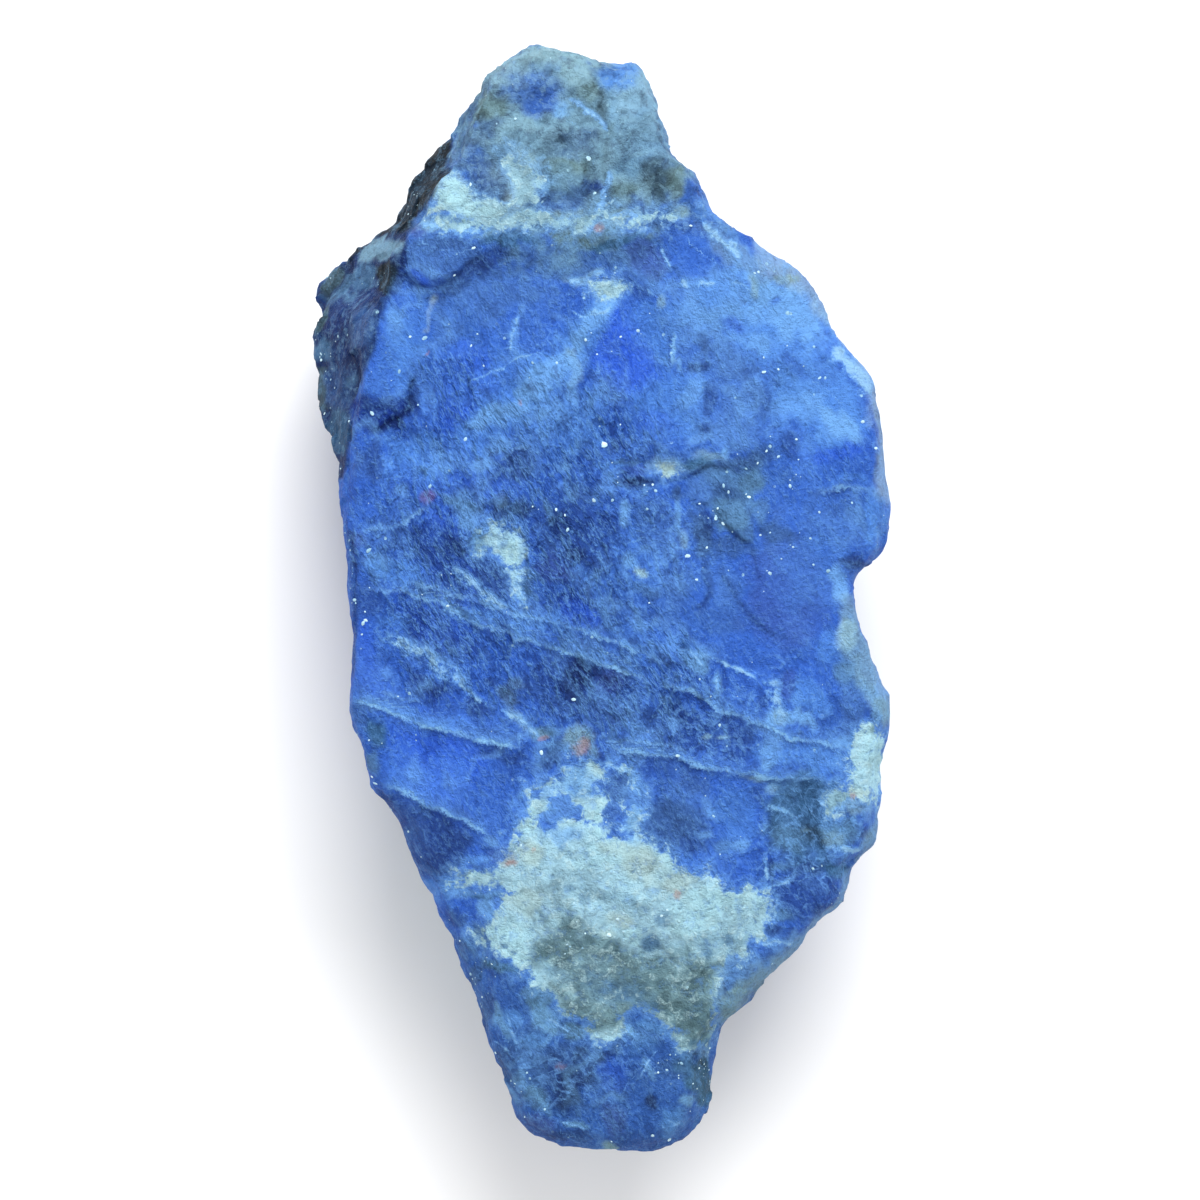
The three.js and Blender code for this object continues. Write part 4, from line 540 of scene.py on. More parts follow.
# Tones inside the white mineral, as in AREAS.
PALE_AREAS = [
    ("ice", -0.2, -11.8, 0.5, 1.5, 0, 0.9), ("ice", -3.8, -12.0, 0.6, 1.1, 20, 0.9),
    ("sky", -1.2, -9.8, 1.3, 1.1, 0, 0.85), ("sky", -3.1, -10.4, 0.8, 0.5, 0, 0.6),
    ("sky", -2.0, -12.9, 1.6, 0.5, 0, 0.6), ("ice", -6.4, -14.9, 1.4, 0.4, 10, 0.5),
    ("ice", 0.0, -14.3, 1.6, 0.6, 10, 0.6), ("ice", 3.6, -14.2, 0.6, 0.5, 0, 0.6),
    ("ice", 6.4, -16.5, 2.6, 1.0, -10, 1.0), ("ice", 5.2, -17.9, 1.3, 0.9, 0, 0.9),
    ("ice", 8.2, -17.0, 0.9, 1.2, 0, 0.7), ("ice", -4.9, -18.4, 1.5, 1.3, 0, 0.9),
    ("ice", 1.8, -18.4, 0.7, 0.6, 0, 1.0), ("cream", 2.0, -14.4, 1.3, 1.0, 0, 0.9),
    ("cream", 0.8, -13.6, 0.9, 0.5, 0, 0.8), ("cream", -3.7, -13.8, 0.8, 0.5, 0, 0.9),
    ("cream", -4.0, -16.5, 1.1, 0.8, 0, 0.7), ("cream", 1.1, -17.5, 0.8, 0.4, 0, 0.9),
    ("cream", 4.0, -15.3, 1.0, 0.7, 0, 0.8), ("cream", 0.4, -18.2, 0.5, 0.3, 0, 0.9),
    ("ash", -1.3, -15.7, 1.8, 0.7, 0, 0.4), ("smoke", -1.7, -15.8, 0.45, 0.3, 0, 0.5),
    ("smoke", -0.6, -16.4, 0.4, 0.3, 0, 0.6), ("smoke", 1.6, -16.4, 0.5, 0.3, 0, 0.6),
    ("ash", 1.0, -16.5, 1.8, 0.5, 0, 0.7), ("smoke", 3.5, -17.5, 0.5, 0.5, 0, 0.7),
    ("smoke", 2.8, -18.7, 0.5, 0.6, 0, 0.9), ("ash", 6.8, -18.8, 1.6, 0.7, 0, 0.8),
    ("smoke", 7.0, -18.6, 0.3, 0.3, 0, 0.7), ("smoke", -5.2, -18.9, 0.25, 0.15, 0, 0.8),
    ("smoke", -4.7, -19.2, 0.25, 0.15, 0, 0.8), ("smoke", 5.8, -19.4, 0.4, 0.6, 0, 0.9),
    ("moss", 0.9, -21.6, 4.0, 2.4, -10, 0.85), ("moss", -2.0, -18.6, 2.0, 1.5, 0, 1.0),
    ("moss", -0.3, -19.2, 1.6, 1.0, 0, 1.0), ("olive", -2.2, -19.0, 1.2, 0.7, 0, 0.5),
    ("olive", 1.4, -19.8, 0.9, 0.7, 0, 0.8), ("moss", 3.4, -20.4, 2.0, 1.2, 0, 0.95),
    ("moss", 4.7, -22.0, 2.2, 2.8, 0, 1.0), ("olive", 4.3, -21.5, 1.5, 1.0, 0, 0.55),
    ("olive", 5.4, -20.6, 0.8, 0.6, 0, 0.5), ("olive", 4.9, -23.4, 1.0, 0.7, 0, 0.5),
    ("moss", 0.4, -23.2, 1.4, 1.0, 0, 0.95), ("olive", 0.2, -23.1, 0.9, 0.35, -30, 0.5),
    ("smoke", 0.6, -21.2, 1.6, 0.5, -25, 0.5), ("ash", 2.4, -22.2, 0.9, 0.3, -35, 0.5),
    ("ash", -2.3, -20.5, 1.3, 0.4, -38, 0.9), ("ice", -1.6, -21.6, 0.7, 0.3, -38, 0.8),
    ("teal", 5.6, -24.4, 0.9, 0.5, 0, 0.9), ("smoke", 2.2, -21.6, 1.0, 0.6, 0, 0.6),
    ("ash", 4.4, -19.4, 0.4, 0.6, 0, 0.6),
    ("ice", -8.2, 22.2, 0.8, 1.0, 10, 1.0), ("ice", -6.6, 21.4, 1.4, 0.4, -10, 0.9),
    ("cream", -8.9, 21.2, 0.6, 0.4, 0, 0.8), ("ash", -4.6, 24.0, 0.8, 0.6, 0, 0.7),
    ("ash", -4.0, 22.6, 1.0, 1.4, 0, 0.6), ("ash", -2.0, 20.8, 6.0, 0.6, 0, 0.6),
    ("moss", -7.6, 20.9, 0.6, 0.3, 0, 0.8), ("ice", 14.8, -8.4, 0.8, 1.4, 0, 0.8),
    ("sky", -5.6, 2.6, 2.2, 2.4, 0, 0.35), ("cream", 3.8, 7.2, 1.0, 0.7, 0, 0.9),
    ("sky", 1.9, -11.2, 0.8, 1.9, 0, 0.75), ("cream", 14.0, -10.8, 0.9, 0.4, 0, 0.9),
    ("moss", 15.2, -7.0, 0.35, 0.4, 0, 0.9),
    ("ash", 13.0, -11.3, 0.9, 0.6, 0, 0.9), ("smoke", -6.9, 3.3, 0.8, 0.7, 0, 0.7),
    ("ice", -4.7, 2.5, 0.5, 0.9, 0, 1.0), ("mist", -5.6, 3.4, 0.6, 0.4, 0, 0.8),
    ("rust", -5.1, -14.3, 0.7, 0.4, 0, 0.35), ("ash", -5.4, -14.0, 0.9, 0.6, 0, 0.5),
    ("sky", -4.4, 0.2, 0.5, 0.9, 0, 0.7),
]
# Rusty spots: x, y, radius.
RUST_SPOTS = [(-1.1, -8.0, 0.55), (-3.1, -7.5, 0.22), (-4.9, -14.4, 0.30), (-3.6, -13.7, 0.22),
              (4.1, -16.2, 0.28),
              (13.9, -10.7, 0.22), (-0.2, 20.25, 0.32), (-4.4, 10.95, 0.26), (-9.4, 13.4, 0.16)]

# Each vein carries a painted highlight on the lit side above its ledge and painted shadow at its foot.
# Pale veins, each along the edge of a low ledge: course, width of the glow above it, brightness, step.
VEINS = [
    ([(-13.2, 0.7), (-12.1, 0.5), (-10.5, 0.3), (-9.5, 0.0), (-8.6, -0.3), (-7.6, -1.0), (-6.6, -1.4),
      (-5.5, -1.6), (-4.2, -2.2), (-2.4, -2.7), (-0.6, -3.3), (0.9, -3.8), (2.4, -4.4), (3.4, -4.7)],
     0.45, 0.60, 0.10),
    ([(3.0, -4.6), (5.0, -5.0), (5.8, -5.4), (6.6, -6.1), (7.8, -6.5), (9.0, -6.9), (10.5, -7.6),
      (11.7, -7.85),
      (12.9, -8.0), (14.0, -8.4)], 0.38, 0.70, 0.10),
    ([(-11.2, 1.1), (-9.8, 0.8), (-9.0, 0.6), (-7.8, 0.1), (-6.6, -0.1), (-5.8, -0.5), (-4.8, -0.9),
      (-3.0, -1.1),
      (-1.2, -1.7), (0.9, -2.4), (2.4, -3.0), (3.6, -3.5), (4.3, -3.9)], 0.35, 0.50, 0.07),
    ([(-13.6, -5.4), (-11.8, -6.05), (-10.5, -6.6), (-9.5, -7.0), (-8.2, -7.25), (-6.8, -7.6), (-5.5, -8.0),
      (-3.9, -8.2)], 0.45, 0.85, 0.10),
    ([(0.0, -7.85), (1.4, -8.4), (2.8, -8.5), (4.2, -8.6), (5.3, -9.1), (6.6, -9.3), (7.9, -9.6),
      (9.6, -9.75),
      (11.0, -9.8), (12.6, -9.9)], 0.30, 0.60, 0.14),
    ([(0.2, -7.6), (1.8, -7.8), (3.8, -8.0), (4.8, -8.3)], 0.20, 0.40, 0.04),
    ([(-12.2, -9.9), (-11.0, -10.4), (-10.0, -11.0), (-8.8, -11.6), (-7.4, -12.2), (-6.4, -12.7),
      (-5.7, -13.2)],
     0.45, 0.60, 0.14),
    ([(-13.2, 3.7), (-12.0, 3.9), (-11.0, 4.1), (-10.0, 4.6), (-9.2, 5.1)], 0.30, 0.50, 0.03),
    ([(4.3, -2.7), (5.3, -3.0), (6.3, -3.2), (7.0, -3.6)], 0.20, 0.50, 0.03),
    ([(9.0, -11.3), (10.0, -11.6), (10.6, -11.9)], 0.15, 0.50, 0.03),
    ([(11.8, 6.0), (13.2, 6.1), (14.8, 6.2)], 0.20, 0.35, 0.05),
    ([(-12.2, -5.0), (-11.0, -5.4), (-9.6, -5.6)], 0.20, 0.30, 0.03),
    ([(-5.4, 7.6), (-4.6, 8.2), (-3.8, 8.4)], 0.30, 0.50, 0.05),
    ([(3.9, 14.6), (4.0, 13.6), (4.0, 12.8)], 0.30, 0.50, 0.04),
]
# Cracks and the feet of ledges, darkened with painted shade: course, half width, depth, darkness.
CRACKS = [
    ([(-10.9, 18.0), (-10.2, 17.3), (-9.4, 17.0), (-8.6, 17.1), (-8.0, 17.5), (-7.4, 18.0), (-6.9, 18.6),
      (-6.2, 18.9), (-5.3, 19.0), (-4.2, 18.8), (-3.2, 18.95)], 0.16, 0.12, 0.22),
    ([(-5.4, 19.0), (-5.5, 19.6), (-5.3, 20.0)], 0.12, 0.12, 0.5),
    ([(-12.7, 9.2), (-11.6, 9.7), (-10.9, 10.1), (-10.5, 10.8), (-10.3, 11.7), (-10.0, 12.5)],
     0.16, 0.18, 0.55),
    ([(1.0, 6.9), (1.9, 6.4), (3.1, 6.45), (4.3, 6.6), (5.3, 6.9), (5.9, 7.3), (7.4, 7.2)], 0.13, 0.10, 0.4),
    ([(5.6, 1.9), (5.8, 1.0), (6.0, 0.3), (5.6, -0.6)], 0.12, 0.08, 0.35),
    ([(6.5, 1.6), (7.6, -0.1), (8.4, -1.1), (9.8, -2.2)], 0.10, 0.07, 0.35),
    ([(8.3, 2.9), (8.6, 2.0), (8.8, 1.1)], 0.10, 0.06, 0.3),
    ([(6.1, 5.1), (6.9, 4.0), (7.5, 3.4), (8.3, 3.1)], 0.11, 0.08, 0.4),
    ([(4.8, 5.5), (5.3, 5.15), (6.0, 5.2)], 0.12, 0.08, 0.5),
    ([(-13.7, 4.3), (-13.4, 2.0), (-13.4, -1.0), (-13.5, -4.6)], 0.14, 0.10, 0.45),
    ([(3.4, -3.9), (3.5, -4.7), (3.4, -5.9)], 0.10, 0.06, 0.3),
    ([(-3.4, -20.4), (-1.9, -22.0), (-0.8, -22.5), (0.6, -23.3)], 0.12, 0.06, 0.35),
    ([(2.6, -14.3), (2.7, -15.0)], 0.08, 0.05, 0.4),
    ([(0.6, 20.6), (0.2, 23.6), (0.5, 25.6), (0.1, 27.8)], 0.14, 0.10, 0.3),
    ([(9.3, -14.0), (9.4, -15.2), (9.6, -16.4)], 0.10, 0.08, 0.4),
    ([(-4.1, 3.0), (-4.0, 1.4), (-4.0, 0.0)], 0.10, 0.06, 0.35),
    ([(3.9, 18.2), (4.4, 17.7), (4.6, 17.0)], 0.08, 0.05, 0.3),
]
# Thin flakes that still lie on the face: corners and height.
FLAKES = [
    (LARGE_FLAKE, 0.16),
    (SMALL_FLAKE, 0.14),
    ([(-10.4, 19.9), (-9.6, 20.2), (-7.2, 19.9), (-6.8, 19.0), (-7.4, 18.2), (-8.6, 17.4), (-10.0, 17.6)],
     0.07),
    ([(2.2, 19.6), (3.2, 19.6), (3.9, 18.1), (3.3, 17.7), (2.4, 18.5)], 0.10),
]
# Where the face broke smooth and the silky streaks fade, and where they stand out: x, y, half width, half
# height, turn.
SMOOTH_AREAS = [(9.8, 0.2, 4.4, 5.6, 0), (5.0, 19.0, 1.4, 1.7, 0),
                (10.4, 15.2, 2.6, 2.0, -20), (-12.9, -1.6, 0.7, 3.4, 0),
                (-14.6, 14.0, 2.2, 5.5, -20), (12.6, 11.0, 2.4, 2.6, 0)]
BARK_AREAS = [(-5.5, 1.5, 8.0, 7.5, 0), (-8.0, 10.5, 2.6, 3.0, 0), (1.5, -5.0, 5.5, 3.5, 0),
              (-2.0, 8.5, 5.0, 4.0, 0)]
# Where a net of thin pale threads runs through the blue, in the same way.
NET_AREAS = [(7.0, -6.5, 6.5, 3.2, -8), (-2.2, 12.5, 3.2, 2.2, 45), (2.8, 3.0, 3.0, 3.2, 0),
             (-2.0, -8.0, 4.0, 1.4, -10), (10.8, -13.5, 3.8, 3.5, 0), (-1.5, -25.0, 4.5, 3.5, 0),
             (-9.8, 7.6, 2.8, 1.4, 0)]
# Where small grains lie thickest, in the same way.
SPECK_AREAS = [(8.8, 5.2, 4.2, 3.6, 0), (-13.2, -0.6, 0.7, 4.6, 0), (4.6, -25.4, 1.6, 1.2, 0),
               (3.2, 6.2, 2.4, 1.6, 0),
               (0.8, -17.6, 3.4, 1.8, 0), (-6.8, -20.4, 0.6, 2.0, -15)]
# The larger pale grains: x, y, width.
GRAINS = [
    (0.25, 8.5, 0.46), (-0.6, 24.25, 0.46), (-3.2, -8.4, 0.26), (9.25, 1.5, 0.30), (-9.6, 14.3, 0.30),
    (-11.0, 12.4, 0.26), (2.1, 14.7, 0.26), (-9.35, 6.2, 0.26), (10.3, 15.7, 0.32), (-7.1, 22.7, 0.28),
    (-2.4, 12.9, 0.22), (6.35, 4.5, 0.26), (6.7, 4.15, 0.26), (-0.4, 5.45, 0.26), (0.6, 5.45, 0.24),
    (2.6, 5.0, 0.20), (3.0, 5.95, 0.22), (9.0, 12.5, 0.22), (9.8, 12.6, 0.18), (11.95, 12.2, 0.20),
    (12.4, 12.2, 0.18), (9.3, 8.35, 0.26), (9.7, 7.85, 0.20), (8.15, 5.7, 0.20), (7.1, 5.9, 0.20),
    (4.75, 2.4, 0.30), (5.3, 1.1, 0.20), (12.45, 1.6, 0.28), (11.5, 3.35, 0.18), (0.7, -14.85, 0.22),
    (2.3, -15.15, 0.26), (0.95, -17.4, 0.24), (0.5, -18.35, 0.30), (-5.75, -24.9, 0.18), (-7.15, -20.6, 0.24),
    (-6.45, -21.85, 0.18), (4.5, -25.4, 0.20), (3.8, -24.9, 0.16), (3.85, -29.75, 0.30), (2.95, -29.5, 0.26),
    (11.65, -14.8, 0.20), (-12.7, 2.7, 0.30), (-13.0, -1.3, 0.30), (-12.8, -1.1, 0.24), (-13.4, 0.0, 0.24),
    (-12.25, -10.05, 0.30), (-12.5, -9.7, 0.24), (-7.4, 8.75, 0.24), (14.45, 9.7, 0.28), (15.1, 8.4, 0.24),
    (2.8, -0.2, 0.18), (4.3, -8.5, 0.22), (6.5, -6.8, 0.24), (-4.6, 26.3, 0.22), (-0.3, 22.3, 0.22),
    (-3.2, 21.7, 0.20), (-6.95, 19.2, 0.20), (-12.4, 10.15, 0.26), (-1.4, -5.5, 0.24), (10.35, 6.3, 0.22),
    (-0.75, 20.0, 0.16), (8.5, 17.9, 0.16), (4.9, 20.4, 0.16), (-8.3, -0.3, 0.20), (-1.85, 3.8, 0.20),
]
GRAIN_SIZE = 0.85               # the larger grains are this much of the widths given
SPECKS = 520                    # small grains strewn over the stone besides the larger ones
SPECK_WIDTH = (0.06, 0.17)
SPECK_SEED = 41


# ---- noise and distances -----------------------------------------------------------------------------------
def smooth(value, low, high):
    share = np.clip((value - low) / (high - low), 0, 1)
    return share * share * (3 - 2 * share)


def waves(place, size, seed):
    """Smooth humps of about this size, from about -1 to 1, at rows of x, y, z. Each seed has its own."""
    random = np.random.default_rng(seed)
    order = random.permutation(256)
    slopes = random.normal(size=(256, 3))
    slopes /= np.linalg.norm(slopes, axis=1)[:, None]
    scaled = place / size
    cell = np.floor(scaled).astype(int)
    inside = scaled - cell
    fade = inside ** 3 * (inside * (inside * 6 - 15) + 10)
    total = np.zeros(len(place))
    for corner in itertools.product((0, 1), repeat=3):
        x, y, z = (cell + corner).T
        pick = order[(order[(order[x & 255] + y) & 255] + z) & 255]
        share = np.prod(np.where(corner, fade, 1 - fade), axis=1)
        total += share * np.sum(slopes[pick] * (inside - corner), axis=1)
    return total * 1.5


def cloud(place, size, seed, rounds=3):
    """Humps with ever smaller humps on them."""
    return sum(waves(place, size / 2 ** k, seed + k) / 2 ** k for k in range(rounds))


def wander(size, seed, rounds=3):
    """A drift to the side and along the stone that changes over this size."""
    return np.column_stack([cloud(place, size, seed, rounds), cloud(place, size, seed + 4, rounds)])


def terraces(value, edge):
    """The value in whole steps, each of which rises in its last part, from edge to 1."""
    return np.floor(value) + smooth(value - np.floor(value), edge, 1.0)


def broken(place, size, seed):
    """The flat pieces of a broken surface: how high each tilted piece stands, and its tone, about -1 to 1."""
    random = np.random.default_rng(seed)
    order = random.permutation(256)
    middles = random.random((256, 3))
    tilts = random.normal(size=(256, 3))
    lifts = random.uniform(-0.5, 0.5, 256)
    scaled = place / size
    cell = np.floor(scaled).astype(int)
    nearest = np.full(len(place), 9.0)
    height = np.zeros(len(place))
    tone = np.zeros(len(place))
    for neighbour in itertools.product((-1, 0, 1), repeat=3):
        x, y, z = (cell + neighbour).T
        pick = order[(order[(order[x & 255] + y) & 255] + z) & 255]
        offset = scaled - cell - neighbour - middles[pick]
        gap = np.linalg.norm(offset, axis=1)
        closer = gap < nearest
        nearest = np.where(closer, gap, nearest)
        height = np.where(closer, lifts[pick] + np.sum(tilts[pick] * offset, axis=1), height)
        tone = np.where(closer, 2 * lifts[pick], tone)
    return np.clip(height, -1.5, 1.5), tone


def patch_depth(flat, corners):
    """How far inside a patch each place lies, below zero outside it."""
    nearest = np.full(len(flat), 1e9)
    inside = np.zeros(len(flat), bool)
    for start, end in zip(corners, corners[1:] + corners[:1]):
        start, end = np.array(start), np.array(end)
        run = end - start
        share = np.clip((flat - start) @ run / (run @ run), 0, 1)
        nearest = np.minimum(nearest, np.linalg.norm(flat - start - share[:, None] * run, axis=1))
        crosses = (start[1] > flat[:, 1]) != (end[1] > flat[:, 1])
        if run[1] != 0:
            inside ^= crosses & (flat[:, 0] < start[0] + run[0] * (flat[:, 1] - start[1]) / run[1])
    return np.where(inside, nearest, -nearest)


def line_side(flat, course):
    """Distance to a line, above zero on its left, and how far along it the nearest point lies, 0 to 1."""
    best = np.full(len(flat), 1e9)
    side = np.full(len(flat), 1e9)
    along = np.zeros(len(flat))
    lengths = [math.dist(a, b) for a, b in zip(course, course[1:])]
    done = 0.0
    for start, end, length in zip(course, course[1:], lengths):
        start, run = np.array(start), np.array(end) - np.array(start)
        offset = flat - start
        share = np.clip(offset @ run / length ** 2, 0, 1)
        gap = np.linalg.norm(offset - share[:, None] * run, axis=1)
        left = np.where(run[0] * offset[:, 1] - run[1] * offset[:, 0] > 0, 1, -1)
        closer = gap < best
        best = np.where(closer, gap, best)
        side = np.where(closer, gap * left, side)
        along = np.where(closer, (done + share * length) / sum(lengths), along)
        done += length
    return side, along


def area_cover(flat, x, y, half_width, half_height, turn):
    """1 inside a soft-edged oval and 0 outside it, brushed out of shape and with its rim worn ragged."""
    angle = math.radians(turn)
    offset = flat + min(1.0, 0.35 * (half_width + half_height)) * brush - (x, y)
    across = offset @ (math.cos(angle), math.sin(angle)) / half_width
    up = offset @ (-math.sin(angle), math.cos(angle)) / half_height
    return 1 - smooth(np.hypot(across, up) + ragged, 0.55, 1.25)


def any_area(areas):
    """1 inside any of these ovals and 0 outside them all."""
    return np.max([area_cover(sheets, *area) for area in areas], axis=0)


def linear(colour, balance=BLUE_BALANCE):
    """A daylight colour of 0 to 255 as the shader's light values."""
    return balance * ((np.array(colour) / 255 + 0.055) / 1.055) ** 2.4


# ---- the stone's mesh --------------------------------------------------------------------------------------
def put(name, data):
    """A new object in the scene."""
    thing = bpy.data.objects.new(name, data)
    scene.collection.objects.link(thing)
    return thing


def evaluated_copy(holder):
    depsgraph = bpy.context.evaluated_depsgraph_get()
    return bpy.data.meshes.new_from_object(holder.evaluated_get(depsgraph))


def calmed(mesh, rounds, voxel=None):
    """The mesh, remade in even facets if a voxel size is given, and smoothed."""
    holder = put("holder", mesh)
    if voxel:
        remesh = holder.modifiers.new("even facets", "REMESH")
        remesh.mode = "VOXEL"
        remesh.voxel_size = voxel
    smoothing = holder.modifiers.new("smooth", "SMOOTH")
    smoothing.factor = 0.5
    smoothing.iterations = rounds
    made = evaluated_copy(holder)
    bpy.data.objects.remove(holder)
    return made


def positions(mesh):
    flat = np.empty(len(mesh.vertices) * 3, np.float32)
    mesh.vertices.foreach_get("co", flat)
    return flat.reshape(-1, 3).astype(float)


def place_vertices(mesh, points):
    mesh.vertices.foreach_set("co", points.astype(np.float32).ravel())
    mesh.update()


def normals(mesh):
    flat = np.empty(len(mesh.vertices) * 3, np.float32)
    mesh.vertex_normals.foreach_get("vector", flat)
    return flat.reshape(-1, 3).astype(float)


def stone_mesh():
    """The solid's shape in fine even facets, in millimetres, finest on the broad face."""
    work = bmesh.new()
    work.from_mesh(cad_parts[NODE].data)
    bmesh.ops.remove_doubles(work, verts=work.verts, dist=0.01 * MM)
    bmesh.ops.scale(work, vec=(1 / MM,) * 3, verts=work.verts)
    rough = bpy.data.meshes.new("rough")
    work.to_mesh(rough)
    work.free()
    even = calmed(rough, CALM_ROUNDS[0], voxel=GRID)
    work = bmesh.new()
    work.from_mesh(even)
    work.normal_update()
    broad = [f for f in work.faces if f.normal.z > FACE_TILT and f.calc_center_median().z > FACE_FLOOR]
    edges = list({edge for face in broad for edge in face.edges})
    bmesh.ops.subdivide_edges(work, edges=edges, cuts=1, use_grid_fill=True)
    bmesh.ops.triangulate(work, faces=[f for f in work.faces if len(f.verts) > 4])
    fine = bpy.data.meshes.new("fine")
    work.to_mesh(fine)
    work.free()
    return calmed(fine, CALM_ROUNDS[1])


mesh = stone_mesh()
place = positions(mesh)
normal = normals(mesh)
facing_up = smooth(normal[:, 2], *FACE_RISE) * smooth(place[:, 2], *FACE_HEIGHT)
wall = 1 - smooth(normal[:, 2], *WALL_RISE)

# The sheets of mineral that show on the broad face run straight down the flanks seen from above, and at a
# slant through the walls below them.
depth = np.clip(DIP_START - place[:, 2], 0, None) * (1 - smooth(normal[:, 2], *UNDERCUT))
sheets = place[:, :2] + depth[:, None] * DIP
sheets[:, 0] += BEND * depth * waves(place, BEND_SIZE, 7)
sheets[:, 1] += BEND * depth * waves(place, BEND_SIZE, 8)
hidden = smooth(depth + 1.6 * waves(place, 3.0, 10) * smooth(depth, 0, 1), 0.5, 3.0)
low = 1 - smooth(place[:, 2], *LOW_RIM)
ragged = EDGE_WEAR[0] * cloud(place, 1.1, 5) + EDGE_WEAR[1] * waves(place, 0.35, 9)

# Silky streaks lean across the face.
lean = np.array([[math.cos(STREAK_TURN), -math.sin(STREAK_TURN), 0],
                 [math.sin(STREAK_TURN), math.cos(STREAK_TURN), 0], [0, 0, 1]])
grain = place @ lean
grain[:, 0] += 0.5 * waves(place, 6.0, 35) + 0.05 * waves(place, 1.2, 37)
streak_way = np.array([-math.sin(STREAK_TURN), math.cos(STREAK_TURN)])
silk = waves(grain / SILK_STROKE, 1, 31) + 0.8 * waves(grain / FINE_STROKE, 1, 32)
splinter, splinter_tone = broken(grain / SPLINTER_SHAPE, SPLINTER_SIZE, 47)
granule, granule_tone = broken(place + 0.3 * waves(place, 0.9, 52)[:, None], GRANULE_SIZE, 53)

frayed = sheets + 0.32 * wander(1.3, 11)
brush = 0.9 * wander(2.6, 81)
brush += (0.35 * silk * (1 - hidden))[:, None] * streak_way
bent = sheets + 0.14 * wander(1.0, 71, 2)
bent += (0.9 * low)[:, None] * wander(2.2, 101, 2)
flank = smooth(patch_depth(bent, FLANK), -0.15, 0.15) * (1 - hidden)
# Straight below the flank its dark tones, partly painted shade, fade out raggedly down the wall.
below_flank = smooth(patch_depth(place[:, :2] + brush, FLANK), -1.5, 1.0) * hidden
below_flank *= smooth(place[:, 2] + 2.0 * cloud(place, 3.0, 111), 0.5, 5.0)

# ---- where the minerals lie --------------------------------------------------------------------------------
white_depth = np.max([patch_depth(frayed, corners) for corners in WHITES], axis=0)
for x, y, radius in WINDOWS:
    white_depth = np.minimum(white_depth, 1.4 * (np.linalg.norm(frayed - (x, y), axis=1) - radius))
thin = any_area(THIN_AREAS)
white_depth -= thin * (0.25 + 0.35 * cloud(place, 1.2, 23)) + 3 * flank
# Off the broad face, more white and olive mineral comes and goes in clouds.
clouds = (cloud(place, 7.5, 21) - 0.42) * 5
white_depth = np.maximum(white_depth, clouds - (1 - hidden) * 9)
olive_clouds = smooth(cloud(place, 5.0, 25), -0.1, 0.35) * hidden
granular = smooth(white_depth, -0.4, 0.3)
knob = smooth(sheets[:, 1], *KNOB_START) * (1 - hidden) * (1 - flank)
smoothness = any_area(SMOOTH_AREAS)
bark = any_area(BARK_AREAS)
net = any_area(NET_AREAS) * (1 - flank)
net = np.maximum(0.12 * (1 - smoothness) * (1 - flank), net) * (1 - knob)
silkiness = (0.65 + (0.95 * bark * (1 - smoothness) - 0.35 * smoothness) * (1 - hidden)) * (1 - 0.6 * flank)
facet, facet_tone = broken(place + 0.3 * waves(place, 1.5, 59)[:, None], FLANK_FACET_SIZE, 60)

# ---- relief ------------------------------------------------------------------------------------------------
grainy = np.maximum(0.7 * granular, knob)
relief = SWELL + LONG_WAVE * cloud(place, 2.6, 41) + SHORT_WAVE * cloud(place, 0.8, 45, 2)
silky_height = SILK_HEIGHT * silk + SPLINTER_HEIGHT * splinter
relief += facing_up * (1 - 0.8 * np.maximum(granular, knob)) * silkiness * silky_height
grainy_height = grainy * (LUMP_HEIGHT * cloud(place, 0.9, 51, 3) + GRANULE_HEIGHT * granule)
relief += grainy_height + KNOB_WAVE * knob * cloud(place, 2.2, 54, 2)
relief += FLANK_FACET * flank * facet
# The walls broke in larger facets and shelves, which stay low along the outline.
rough_wall = wall * (1 - 0.65 * smooth(place[:, 2], *WALL_RIM))
large_facet = broken(place, LARGE_WALL_FACET_SIZE, 57)[0]
small_facet = broken(place, SMALL_WALL_FACET_SIZE, 58)[0]
relief += rough_wall * (WALL_LUMP * cloud(place, 1.5, 55, 3) + LARGE_WALL_FACET * large_facet)
relief += rough_wall * SMALL_WALL_FACET * small_facet
relief += SHELF_HEIGHT * rough_wall * terraces(3.0 * cloud(place * (1, 1, 1.7), 6.0, 61, 2), 0.82)
steps = 3.2 * cloud(grain * (1.6, 0.8, 1), 7.0, 63, 3)
relief += STEP_HEIGHT * facing_up * (1 - knob) * (terraces(steps, 0.88) - steps)

vein_highlight = np.zeros(len(place))
vein_side = np.full(len(place), 3.0)
vein_share = np.zeros(len(place))
patchy = smooth(waves(place, 1.6, 77), -0.5, 0.3)
for course, width, brightness, drop in VEINS:
    side, along = line_side(bent, course)
    ends = smooth(along, 0, 0.12) * (1 - smooth(along, 0.85, 1)) * (1 - hidden)
    above = np.exp(-np.clip(side, 0, None) / width) * smooth(side, -0.12, 0.05)
    # the painted highlight on the lit side above the vein's ledge
    vein_highlight = np.maximum(vein_highlight, 0.95 * brightness * ends * above * (0.5 + 0.5 * patchy))
    nearer = np.abs(side) < np.abs(vein_side)
    vein_side = np.where(nearer, side, vein_side)
    vein_share = np.where(nearer, brightness * ends * (0.4 + 0.6 * patchy), vein_share)
    below = smooth(-side, 0.0, 0.20) * np.exp(-np.clip(-side, 0, None) / 1.3)
    ridge = VEIN_RIDGE * np.exp(-(side / VEIN_RIDGE_WIDTH) ** 2)
    relief += facing_up * ends * (ridge - STEP_SHARE * drop * below)

